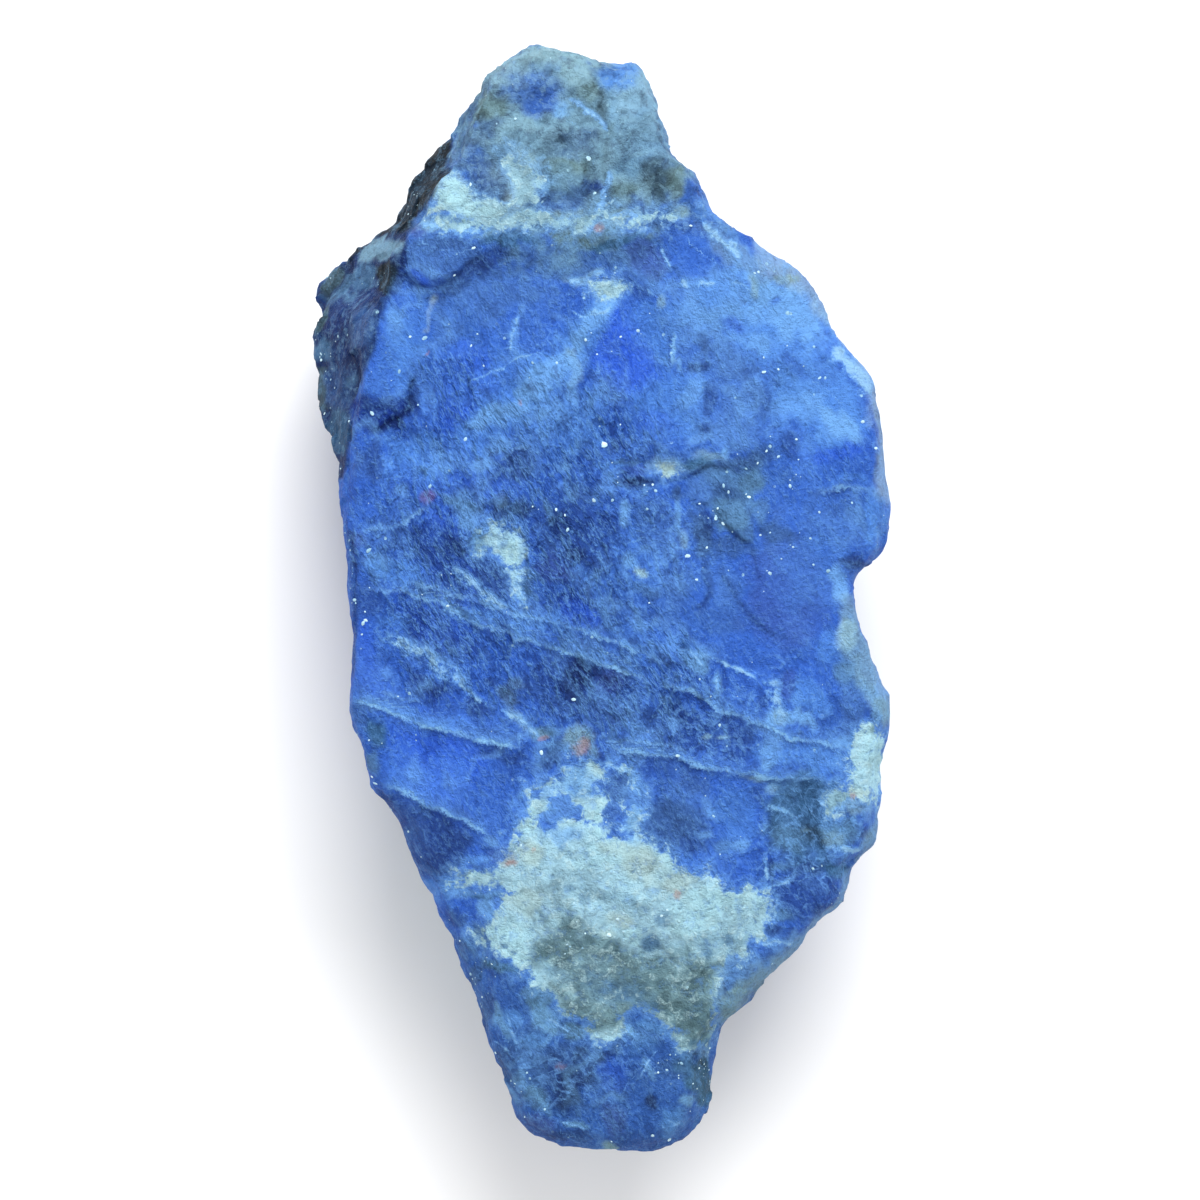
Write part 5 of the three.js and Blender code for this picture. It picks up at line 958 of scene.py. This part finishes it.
# Streaks: the distance in half widths, and how surely the streak covers the blue.
streak_side = np.full(len(place), 4.0)
streak_share = np.zeros(len(place))
for half_width, strength, course in STREAKS:
    side, along = line_side(bent, course)
    share = strength * smooth(along, 0, 0.2) * (1 - smooth(along, 0.8, 1)) * (1 - hidden)
    surer = share - 0.5 * np.abs(side) / half_width > streak_share - 0.5 * np.abs(streak_side)
    streak_side = np.where(surer, side / half_width, streak_side)
    streak_share = np.where(surer, share, streak_share)

# how much painted shade each crack and ledge foot lays on the colour
crack_shade = np.zeros(len(place))
for course, half_width, groove, darkness in CRACKS:
    side, along = line_side(bent, course)
    ends = smooth(along, 0, 0.1) * (1 - smooth(along, 0.9, 1))
    cut = np.exp(-(side / half_width) ** 2) * ends * (1 - hidden)
    relief -= groove * cut
    crack_shade = np.maximum(crack_shade, darkness * cut)
for corners, height in FLAKES:
    relief += height * smooth(patch_depth(bent, corners), -0.06, 0.12) * (1 - hidden)

place_carved = place + relief[:, None] * normal
place_carved[:, 2] = np.where(place[:, 2] < FLAT_SPOT_SKIN, 0.0, np.maximum(place_carved[:, 2], 0.0))


# ---- colours -----------------------------------------------------------------------------------------------
def lay(ground, name, cover, balance=BLUE_BALANCE):
    """Lays a colour over the ground where cover is above zero."""
    ground += cover[:, None] * (linear(COLOURS[name], balance) - ground)


ground = np.tile(linear(COLOURS["royal"]), (len(place), 1))
drift = cloud(place, 6.0, 91)
lay(ground, "navy", 0.35 * smooth(drift, -0.15, -0.8))
lay(ground, "bright", 0.35 * smooth(drift, 0.2, 0.9))
wall_drift = cloud(place, 4.0, 95)
lay(ground, "slate", 0.75 * hidden * smooth(wall_drift, 0.05, 0.5))
lay(ground, "smoke", 0.75 * hidden * smooth(wall_drift, -0.2, -0.7))
lay(ground, "dusk", 0.70 * hidden * smooth(cloud(place, 3.4, 109), 0.15, 0.5))
for name, *area, strength in AREAS:
    lay(ground, name, area_cover(sheets, *area) * strength * (1 - 0.6 * hidden))
band_share = (1 - hidden) * (1 - 0.8 * low * smooth(cloud(place, 2.2, 113), -0.2, 0.3))
for name, half_width, strength, course in BANDS:
    side = line_side(sheets + 0.5 * brush, course)[0]
    lay(ground, name, (1 - smooth(np.abs(side) / half_width + ragged, 0.4, 1.3)) * strength * band_share)
# the flank's dark tones, partly painted shade, carried down the wall below it
lay(ground, "dusk", 0.85 * below_flank)
for name, strength, softness, corners in PATCHES:
    lay(ground, name, smooth(patch_depth(bent, corners), -softness, softness) * strength * (1 - hidden))

# Every splinter and granule has a tone of its own, and pale wisps wander between them.
face_tone = 0.50 * cloud(grain / (1.0, 1.5, 1.0), 2.4, 93, 4) + 0.20 * splinter_tone * silkiness
knob_tone = 0.50 * cloud(place, 1.6, 94, 4) + 0.45 * granule_tone
tone = face_tone * (1 - 0.5 * smoothness) * (1 - flank) * (1 - knob) + knob_tone * knob
tone += flank * 0.55 * facet_tone
ground *= (1 - 0.50 * np.clip(-tone, 0, 1))[:, None]
lay(ground, "sky", 0.45 * np.clip(tone, 0, 1) * (1 - 0.8 * flank) * (1 - knob))
lay(ground, "ash", 0.50 * np.clip(tone, 0, 1) * knob)
wisps = smooth(1 - 4 * np.abs(cloud(grain / (1.0, 1.4, 1.0), 3.2, 96, 3)), 0.3, 1.0)
wisps *= smooth(cloud(place, 4.0, 97), -0.1, 0.4) * (1 - smoothness) * (1 - flank) * (1 - knob)
lay(ground, "sky", 0.40 * wisps)
# painted highlight above each vein's ledge
lay(ground, "sky", np.clip(1.2 * vein_highlight, 0, 1))
# painted shade in the cracks and at the feet of ledges
ground *= (1 - crack_shade)[:, None]
ground *= 1 + knob[:, None] * (KNOB_BALANCE - 1)
ground *= 1 + smooth(sheets[:, 1], *TIP_START)[:, None] * (TIP_BALANCE - 1)
silkiness *= 1 - 0.5 * vein_highlight

pale = np.tile(linear(COLOURS["mist"], PALE_BALANCE), (len(place), 1))
for name, *area, strength in PALE_AREAS:
    lay(pale, name, area_cover(sheets, *area) * strength * (1 - hidden), PALE_BALANCE)
lay(pale, "moss", 0.8 * olive_clouds, PALE_BALANCE)
pale_tone = 0.7 * cloud(place, 1.8, 98, 4) + 0.4 * granule_tone
pale *= (1 - 0.32 * np.clip(-pale_tone, 0, 1))[:, None]
lay(pale, "ice", 0.35 * np.clip(pale_tone, 0, 1), PALE_BALANCE)
# the same painted shade in cracks through the white mineral
pale *= (1 - 0.8 * crack_shade)[:, None]

rust_depth = np.full(len(place), -9.0)
for x, y, radius in RUST_SPOTS:
    rust_depth = np.maximum(rust_depth, 1 - np.linalg.norm(frayed - (x, y), axis=1) / radius)
rust_depth -= hidden * 2

for name, values in (("white_depth", white_depth), ("rust_depth", rust_depth),
                     ("knob", np.maximum(knob, 0.7 * flank)),
                     ("silkiness", silkiness), ("net", net), ("vein_side", vein_side),
                     ("vein_share", vein_share), ("streak_side", streak_side),
                     ("streak_share", streak_share)):
    field = mesh.attributes.new(name, "FLOAT", "POINT")
    field.data.foreach_set("value", np.clip(values, -4, 4).astype(np.float32))
field = mesh.attributes.new("grain_place", "FLOAT_VECTOR", "POINT")
field.data.foreach_set("vector", grain.astype(np.float32).ravel())
for name, colours in (("ground", ground), ("pale", pale)):
    field = mesh.attributes.new(name, "FLOAT_COLOR", "POINT")
    opaque = np.column_stack([colours, np.ones(len(place))])
    field.data.foreach_set("color", opaque.astype(np.float32).ravel())

place_vertices(mesh, place_carved * MM)
mesh.name = "rough_sodalite"
mesh.shade_smooth()
stone = put("rough_sodalite", mesh)


# ---- shader helpers ----------------------------------------------------------------------------------------
def new_material(name):
    material = bpy.data.materials.new(name)
    material.use_nodes = True
    tree = material.node_tree
    tree.nodes.clear()
    return material, tree


def add_node(tree, kind, inputs=None, **settings):
    made = tree.nodes.new(kind)
    for name, value in settings.items():
        setattr(made, name, value)
    for socket, value in (inputs or {}).items():
        if isinstance(value, bpy.types.NodeSocket):
            tree.links.new(value, made.inputs[socket])
        else:
            made.inputs[socket].default_value = value
    return made


def attribute(tree, name, output="Fac"):
    return add_node(tree, "ShaderNodeAttribute", attribute_name=name).outputs[output]


def calc(tree, operation, first, second=0.0, third=0.0):
    inputs = {0: first, 1: second, 2: third}
    return add_node(tree, "ShaderNodeMath", inputs, operation=operation).outputs[0]


def away(tree, value, middle):
    """How far a value lies from a middle, on either side."""
    return calc(tree, "ABSOLUTE", calc(tree, "SUBTRACT", value, middle))


def held(tree, value, most):
    """The value, kept between 0 and the most."""
    return calc(tree, "MINIMUM", calc(tree, "MAXIMUM", value, 0.0), most)


def swing(tree, value, weight, start=0.0):
    """Adds a noise value, swung around zero and weighted, to a start."""
    return calc(tree, "MULTIPLY_ADD", calc(tree, "SUBTRACT", value, 0.5), weight, start)


def slope(tree, value, low, high, start=0.0, end=1.0):
    """Rises smoothly from start to end as the value goes from low to high."""
    inputs = {"Value": value, "From Min": low, "From Max": high, "To Min": start, "To Max": end}
    return add_node(tree, "ShaderNodeMapRange", inputs, interpolation_type="SMOOTHSTEP").outputs["Result"]


def noise(tree, where, scale, detail=2.0, roughness=0.5, warp=0.0):
    inputs = {"Vector": where, "Scale": scale, "Detail": detail, "Roughness": roughness, "Distortion": warp}
    return add_node(tree, "ShaderNodeTexNoise", inputs).outputs["Fac"]


def vector_calc(tree, operation, first, second):
    return add_node(tree, "ShaderNodeVectorMath", {0: first, 1: second}, operation=operation).outputs


def cells(tree, where):
    """Small cells: each one's tone, 0 to 1, the distance to its middle and the height of its tilted top."""
    made = add_node(tree, "ShaderNodeTexVoronoi", {"Vector": where, "Scale": 1.0}, feature="F1")
    parts = add_node(tree, "ShaderNodeSeparateColor", {"Color": made.outputs["Color"]})
    offset = vector_calc(tree, "SUBTRACT", where, made.outputs["Position"])[0]
    slant = vector_calc(tree, "SUBTRACT", made.outputs["Color"], (0.5, 0.5, 0.5))[0]
    tilt = vector_calc(tree, "DOT_PRODUCT", offset, slant)["Value"]
    return {"tone": parts.outputs["Red"], "distance": made.outputs["Distance"], "tilt": tilt}


def blend(tree, share, first, second, mode="MIX"):
    made = add_node(tree, "ShaderNodeMix", {"Factor": share}, data_type="RGBA", blend_type=mode)
    for socket, value in ((6, first), (7, second)):
        if isinstance(value, bpy.types.NodeSocket):
            tree.links.new(value, made.inputs[socket])
        else:
            shade = linear(COLOURS[value]) if isinstance(value, str) else value
            made.inputs[socket].default_value = (*shade[:3], 1)
    return made.outputs[2]


def mapping(tree, where, scale):
    return add_node(tree, "ShaderNodeMapping", {"Vector": where, "Scale": scale}).outputs[0]


def surface(tree, inputs):
    """Ends a material in a plain surface with these inputs."""
    shader = add_node(tree, "ShaderNodeBsdfPrincipled", inputs)
    add_node(tree, "ShaderNodeOutputMaterial", {"Surface": shader.outputs[0]})


# ---- the stone's material ----------------------------------------------------------------------------------
def sodalite_material():
    material, tree = new_material("broken_sodalite")
    where = add_node(tree, "ShaderNodeTexCoord").outputs["Object"]
    mm = mapping(tree, where, (1 / MM,) * 3)
    along = attribute(tree, "grain_place", "Vector")
    silk_wide = noise(tree, mapping(tree, along, (2.1, 0.8, 1.4)), 1.0, 3, 0.7)
    silk_fine = noise(tree, mapping(tree, along, (5.6, 2.0, 4.0)), 1.0, 2, 0.8)
    strokes = slope(tree, away(tree, silk_wide, 0.5), 0.0, 0.07, 1, 0)
    worn = noise(tree, mm, 1.5, 4, 0.75)
    grit = noise(tree, mm, 5.0, 3, 0.8)
    granules = cells(tree, mapping(tree, mm, (2.3,) * 3))
    white_depth = attribute(tree, "white_depth")
    knob_share = attribute(tree, "knob")
    granular = calc(tree, "MAXIMUM", knob_share, slope(tree, white_depth, -0.3, 0.2))
    smooth_share = calc(tree, "MULTIPLY_ADD", granular, -0.8, 1.0)
    silky = calc(tree, "MULTIPLY", attribute(tree, "silkiness"), smooth_share)

    # tilted chips: slivers along the streaks on the face, blocks on the knob, the flank and the white mineral
    slivers = mapping(tree, along, (4.4, 1.2, 2.0))
    blocks = mapping(tree, mm, (1.9,) * 3)
    chip_place = add_node(tree, "ShaderNodeMix", {0: calc(tree, "GREATER_THAN", granular, 0.5), 4: slivers,
                                                  5: blocks}, data_type="VECTOR").outputs[1]
    chips = cells(tree, chip_place)

    # the blue: silky light and dark streaks and splinters on the face, grains on the knob
    face_tone = swing(tree, silk_fine, 1.4, swing(tree, silk_wide, 1.4, -0.08))
    face_tone = calc(tree, "MULTIPLY_ADD", strokes, calc(tree, "MULTIPLY", silk_fine, 0.8), face_tone)
    face_tone = calc(tree, "MULTIPLY", swing(tree, chips["tone"], 0.6, face_tone), silky)
    face_tone = swing(tree, worn, 0.9, swing(tree, grit, 1.7, face_tone))
    mottle = calc(tree, "MULTIPLY", attribute(tree, "net"), 0.8)
    face_tone = swing(tree, granules["tone"], mottle, face_tone)
    knob_tone = swing(tree, granules["tone"], 0.9, swing(tree, grit, 2.2, swing(tree, worn, 2.4)))
    tone = calc(tree, "ADD", calc(tree, "MULTIPLY", face_tone, calc(tree, "SUBTRACT", 1.0, knob_share)),
                calc(tree, "MULTIPLY", knob_tone, knob_share))
    colour = attribute(tree, "ground", "Color")
    dark = held(tree, calc(tree, "MULTIPLY", tone, -1.0), 0.9)
    light = held(tree, calc(tree, "MULTIPLY", tone, 0.55), 0.55)
    colour = blend(tree, dark, colour, BLUE_SHADE, "MULTIPLY")
    colour = blend(tree, light, colour, blend(tree, knob_share, "sky", "ash"))

    # pale threads, pale veins with painted highlight on the crest and painted shadow at the foot, crumbling
    # streaks
    fray = swing(tree, grit, 0.5, swing(tree, worn, 1.8, swing(tree, granules["tone"], 0.35)))
    thread = calc(tree, "SUBTRACT", noise(tree, mm, 0.6, 2, 0.5, 0.6), 0.5)
    thread = calc(tree, "ABSOLUTE", swing(tree, grit, 0.06, thread))
    thread = calc(tree, "MULTIPLY", slope(tree, thread, 0.0, 0.035, 0.5, 0), attribute(tree, "net"))
    thread = calc(tree, "MULTIPLY", thread, slope(tree, worn, 0.38, 0.58))
    colour = blend(tree, thread, colour, "sky")
    side = swing(tree, grit, 0.6, swing(tree, worn, 0.9, attribute(tree, "vein_side")))
    vein = calc(tree, "MULTIPLY", attribute(tree, "vein_share"), slope(tree, silk_wide, 0.38, 0.58, 0.5, 1.3))
    foot_shadow = slope(tree, away(tree, side, -0.18), 0.02, 0.14, 0.7, 0)
    colour = blend(tree, calc(tree, "MULTIPLY", foot_shadow, vein), colour, VEIN_SHADE, "MULTIPLY")
    crest = slope(tree, away(tree, side, 0.03), 0.02, 0.17, 0.9, 0)
    colour = blend(tree, calc(tree, "MULTIPLY", crest, vein), colour, "crest")
    streak = calc(tree, "ABSOLUTE", swing(tree, worn, 3.0, attribute(tree, "streak_side")))
    streak = calc(tree, "MULTIPLY_ADD", streak, -0.5, attribute(tree, "streak_share"))
    streak = calc(tree, "ADD", streak, fray)
    colour = blend(tree, slope(tree, streak, -0.1, 0.5, 0, 0.6), colour, "sky")
    colour = blend(tree, slope(tree, streak, 0.3, 0.8, 0, 0.75), colour, "streak")

    # white and olive mineral, with frayed edges and a thin bluish skin beyond them
    white = calc(tree, "ADD", white_depth, fray)
    skin = slope(tree, white, -0.8, 0.1, 0, 0.45)
    body = calc(tree, "MULTIPLY", slope(tree, white, -0.20, 0.30), slope(tree, worn, 0.30, 0.50, 0.65, 0.96))
    pale_tone = swing(tree, grit, 2.0, swing(tree, worn, 1.8, swing(tree, granules["tone"], 0.9)))
    pale = attribute(tree, "pale", "Color")
    pale = blend(tree, slope(tree, pale_tone, -0.10, -1.0, 0, 0.75), pale, PALE_SHADE, "MULTIPLY")
    frost = linear(COLOURS["frost"], PALE_BALANCE)
    pale = blend(tree, slope(tree, pale_tone, 0.10, 0.9, 0, 0.6), pale, frost)
    colour = blend(tree, skin, colour, "sky")
    colour = blend(tree, body, colour, pale)

    # rust, and glints painted as small bright dots of highlight
    rust = swing(tree, grit, 1.6, attribute(tree, "rust_depth"))
    rusty = linear(COLOURS["rust"], PALE_BALANCE)
    colour = blend(tree, slope(tree, rust, -0.1, 0.8, 0, 0.5), colour, rusty)
    reach = slope(tree, granules["tone"], 0.93, 1.0, 0.0, 0.22)
    painted_glint = calc(tree, "LESS_THAN", granules["distance"], reach)
    colour = blend(tree, calc(tree, "MULTIPLY", painted_glint, slope(tree, worn, 0.42, 0.6, 0.1, 0.7)), colour, "ice")

    rough = slope(tree, worn, 0.3, 0.7, 0.50, 0.62)
    rough = calc(tree, "MULTIPLY_ADD", body, 0.12, rough)
    height = calc(tree, "MULTIPLY_ADD", silk_fine, 1.0, calc(tree, "MULTIPLY_ADD", strokes, 0.25, silk_wide))
    chip_top = calc(tree, "MULTIPLY_ADD", chips["tilt"], 2.2, calc(tree, "MULTIPLY", chips["tone"], 0.5))
    chip_top = calc(tree, "MULTIPLY", chip_top, calc(tree, "MAXIMUM", silky, granular))
    height = calc(tree, "MULTIPLY_ADD", height, silky, chip_top)
    height = calc(tree, "MULTIPLY_ADD", grit, 1.3, calc(tree, "MULTIPLY_ADD", worn, 1.2, height))
    bump = add_node(tree, "ShaderNodeBump", {"Height": height, "Strength": 1.0, "Distance": BUMP_DEPTH * MM})
    surface(tree, {"Base Color": colour, "Roughness": rough, "IOR": SODALITE_IOR, "Specular IOR Level": 0.10,
                   "Normal": bump.outputs["Normal"]})
    return material


mesh.materials.clear()
mesh.materials.append(sodalite_material())
mesh.polygons.foreach_set("material_index", np.zeros(len(mesh.polygons), np.int32))
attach(stone, "root")
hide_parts(NODE)


# ---- pale grains on the surface ----------------------------------------------------------------------------
def grain_material():
    material, tree = new_material("pale_grain")
    where = add_node(tree, "ShaderNodeTexCoord").outputs["Object"]
    spotted = noise(tree, mapping(tree, where, (1 / MM,) * 3), 1.7, 2, 0.5)
    colour = blend(tree, slope(tree, spotted, 0.35, 0.65), "ash", "grain")
    surface(tree, {"Base Color": colour, "Roughness": 0.42, "IOR": 1.5, "Specular IOR Level": 0.5})
    return material


def grain_tree():
    """Sets one small angular grain on each point, laid along the surface."""
    tree = bpy.data.node_groups.new("set_grains", "GeometryNodeTree")
    for name, kind in (("Places", "NodeSocketGeometry"), ("Flatness", "NodeSocketFloat"),
                       ("Length spread", "NodeSocketFloat"), ("Seed", "NodeSocketInt"),
                       ("Material", "NodeSocketMaterial")):
        tree.interface.new_socket(name, in_out="INPUT", socket_type=kind)
    tree.interface.new_socket("Grains", in_out="OUTPUT", socket_type="NodeSocketGeometry")
    given = add_node(tree, "NodeGroupInput").outputs
    facing = add_node(tree, "GeometryNodeInputNamedAttribute", {"Name": "facing"}, data_type="FLOAT_VECTOR")
    width = add_node(tree, "GeometryNodeInputNamedAttribute", {"Name": "width"}, data_type="FLOAT")
    laid = add_node(tree, "FunctionNodeAlignEulerToVector", {"Vector": facing.outputs[0]}, axis="Z")
    spin = add_node(tree, "FunctionNodeRandomValue", {"Min": (0, 0, 0), "Max": (0.5, 0.5, 2 * math.pi),
                                                     "Seed": given["Seed"]}, data_type="FLOAT_VECTOR")
    turning = {"Rotation": laid.outputs[0], "Rotate By": spin.outputs[0]}
    turned = add_node(tree, "FunctionNodeRotateEuler", turning, space="LOCAL")
    stretch = add_node(tree, "FunctionNodeRandomValue", {2: 1.0, 3: given["Length spread"],
                                                        "Seed": given["Seed"]}, data_type="FLOAT")
    size = add_node(tree, "ShaderNodeCombineXYZ", {"X": stretch.outputs[1], "Y": 1.0, "Z": given["Flatness"]})
    scaled = add_node(tree, "ShaderNodeVectorMath", {0: size.outputs[0], "Scale": width.outputs[0]},
                      operation="SCALE")
    chip = add_node(tree, "GeometryNodeMeshIcoSphere", {"Radius": 0.5, "Subdivisions": 1})
    strewn = add_node(tree, "GeometryNodeInstanceOnPoints", {
        "Points": given["Places"], "Instance": chip.outputs[0], "Rotation": turned.outputs[0],
        "Scale": scaled.outputs[0]})
    solid = add_node(tree, "GeometryNodeRealizeInstances", {"Geometry": strewn.outputs[0]})
    painted = add_node(tree, "GeometryNodeSetMaterial", {"Geometry": solid.outputs[0],
                                                        "Material": given["Material"]})
    add_node(tree, "NodeGroupOutput", {"Grains": painted.outputs[0]})
    return tree


def grain_places():
    """Points on the stone for the larger grains and the strewn specks, with facing and width."""
    random = np.random.default_rng(SPECK_SEED)
    top = place_carved * (1, 1, 0)
    chosen, widths = [], []
    for x, y, width in GRAINS:
        gaps = np.linalg.norm(top - (x, y, 0), axis=1) + 5 * (normal[:, 2] < 0.2)
        chosen.append(int(np.argmin(gaps)))
        widths.append(width * GRAIN_SIZE)
    clusters = smooth(cloud(place, 3.0, 99), 0.05, 0.6)
    clusters += 2 * any_area(SPECK_AREAS)
    likely = (0.05 + clusters) * np.where(facing_up > 0.5, 0.25, 1.0) * (place[:, 2] > 1.0)
    picked = random.choice(len(place), SPECKS, replace=False, p=likely / likely.sum())
    low, high = SPECK_WIDTH
    chosen += list(picked)
    widths += list(low + (high - low) * random.random(SPECKS) ** 2.2)
    places = bpy.data.meshes.new("grain_places")
    places.from_pydata([tuple(p) for p in place_carved[chosen] * MM], [], [])
    facing = places.attributes.new("facing", "FLOAT_VECTOR", "POINT")
    facing.data.foreach_set("vector", normal[chosen].astype(np.float32).ravel())
    width = places.attributes.new("width", "FLOAT", "POINT")
    width.data.foreach_set("value", np.array(widths, np.float32) * MM)
    return places


def pale_grains():
    holder = put("holder", grain_places())
    tree = grain_tree()
    settings = {"Flatness": 0.45, "Length spread": 1.7, "Seed": SPECK_SEED, "Material": grain_material()}
    modifier = holder.modifiers.new("grains", "NODES")
    modifier.node_group = tree
    for socket in tree.interface.items_tree:
        if socket.name in settings:
            modifier[socket.identifier] = settings[socket.name]
    made = evaluated_copy(holder)
    bpy.data.objects.remove(holder)
    made.name = "pale_grains"
    grains = put("pale_grains", made)
    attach(grains, "root")


pale_grains()

# ---- floor, light and camera -------------------------------------------------------------------------------
FLOOR_HALF = 4.0                # metres
FLOOR_COLOUR = (0.92, 0.92, 0.92, 1)
VIEW_WIDTH = 65.9 * MM          # what the camera sees across, at the height of the stone's outline
OUTLINE_HEIGHT = 13.0 * MM
CAMERA_RISE = 0.5               # metres above the outline
SENSOR = 36.0
SKY = 0.88                      # light from all round
KEY = 0.78                      # light from the big soft lamp, on a level surface
KEY_DISTANCE = 0.6              # metres
KEY_TURN = math.radians(12)     # the lamp stands behind the knob, this far to the right
KEY_RISE = math.radians(46)
KEY_SIZE = 0.34


def make_floor():
    corner = FLOOR_HALF
    made = bpy.data.meshes.new("floor")
    made.from_pydata([(-corner, -corner, 0), (corner, -corner, 0), (corner, corner, 0), (-corner, corner, 0)],
                     [], [(0, 1, 2, 3)])
    material, tree = new_material("pale_floor")
    surface(tree, {"Base Color": FLOOR_COLOUR, "Roughness": 0.9, "Specular IOR Level": 0.1})
    made.materials.append(material)
    floor = put("floor", made)


def make_light():
    world = bpy.data.worlds.new("soft_sky")
    world.use_nodes = True
    world.node_tree.nodes["Background"].inputs["Color"].default_value = (1, 1, 1, 1)
    world.node_tree.nodes["Background"].inputs["Strength"].default_value = SKY
    scene.world = world
    lamp = bpy.data.lights.new("window", "AREA")
    lamp.size = KEY_SIZE
    lamp.energy = KEY * math.pi ** 2 * KEY_DISTANCE ** 2 / math.sin(KEY_RISE)
    towards = Vector((math.sin(KEY_TURN) * math.cos(KEY_RISE), math.cos(KEY_TURN) * math.cos(KEY_RISE),
                      math.sin(KEY_RISE)))
    window = put("window", lamp)
    window.location = towards * KEY_DISTANCE
    window.rotation_mode = "QUATERNION"
    window.rotation_quaternion = towards.to_track_quat("Z", "Y")
    window.visible_camera = False


def make_camera():
    lens = bpy.data.cameras.new("camera")
    lens.sensor_width = SENSOR
    lens.lens = SENSOR * CAMERA_RISE / VIEW_WIDTH
    lens.clip_start = 0.01
    camera = put("camera", lens)
    camera.location = (0, 0, OUTLINE_HEIGHT + CAMERA_RISE)
    scene.camera = camera


make_floor()
make_light()
make_camera()
scene.view_settings.view_transform = "Standard"
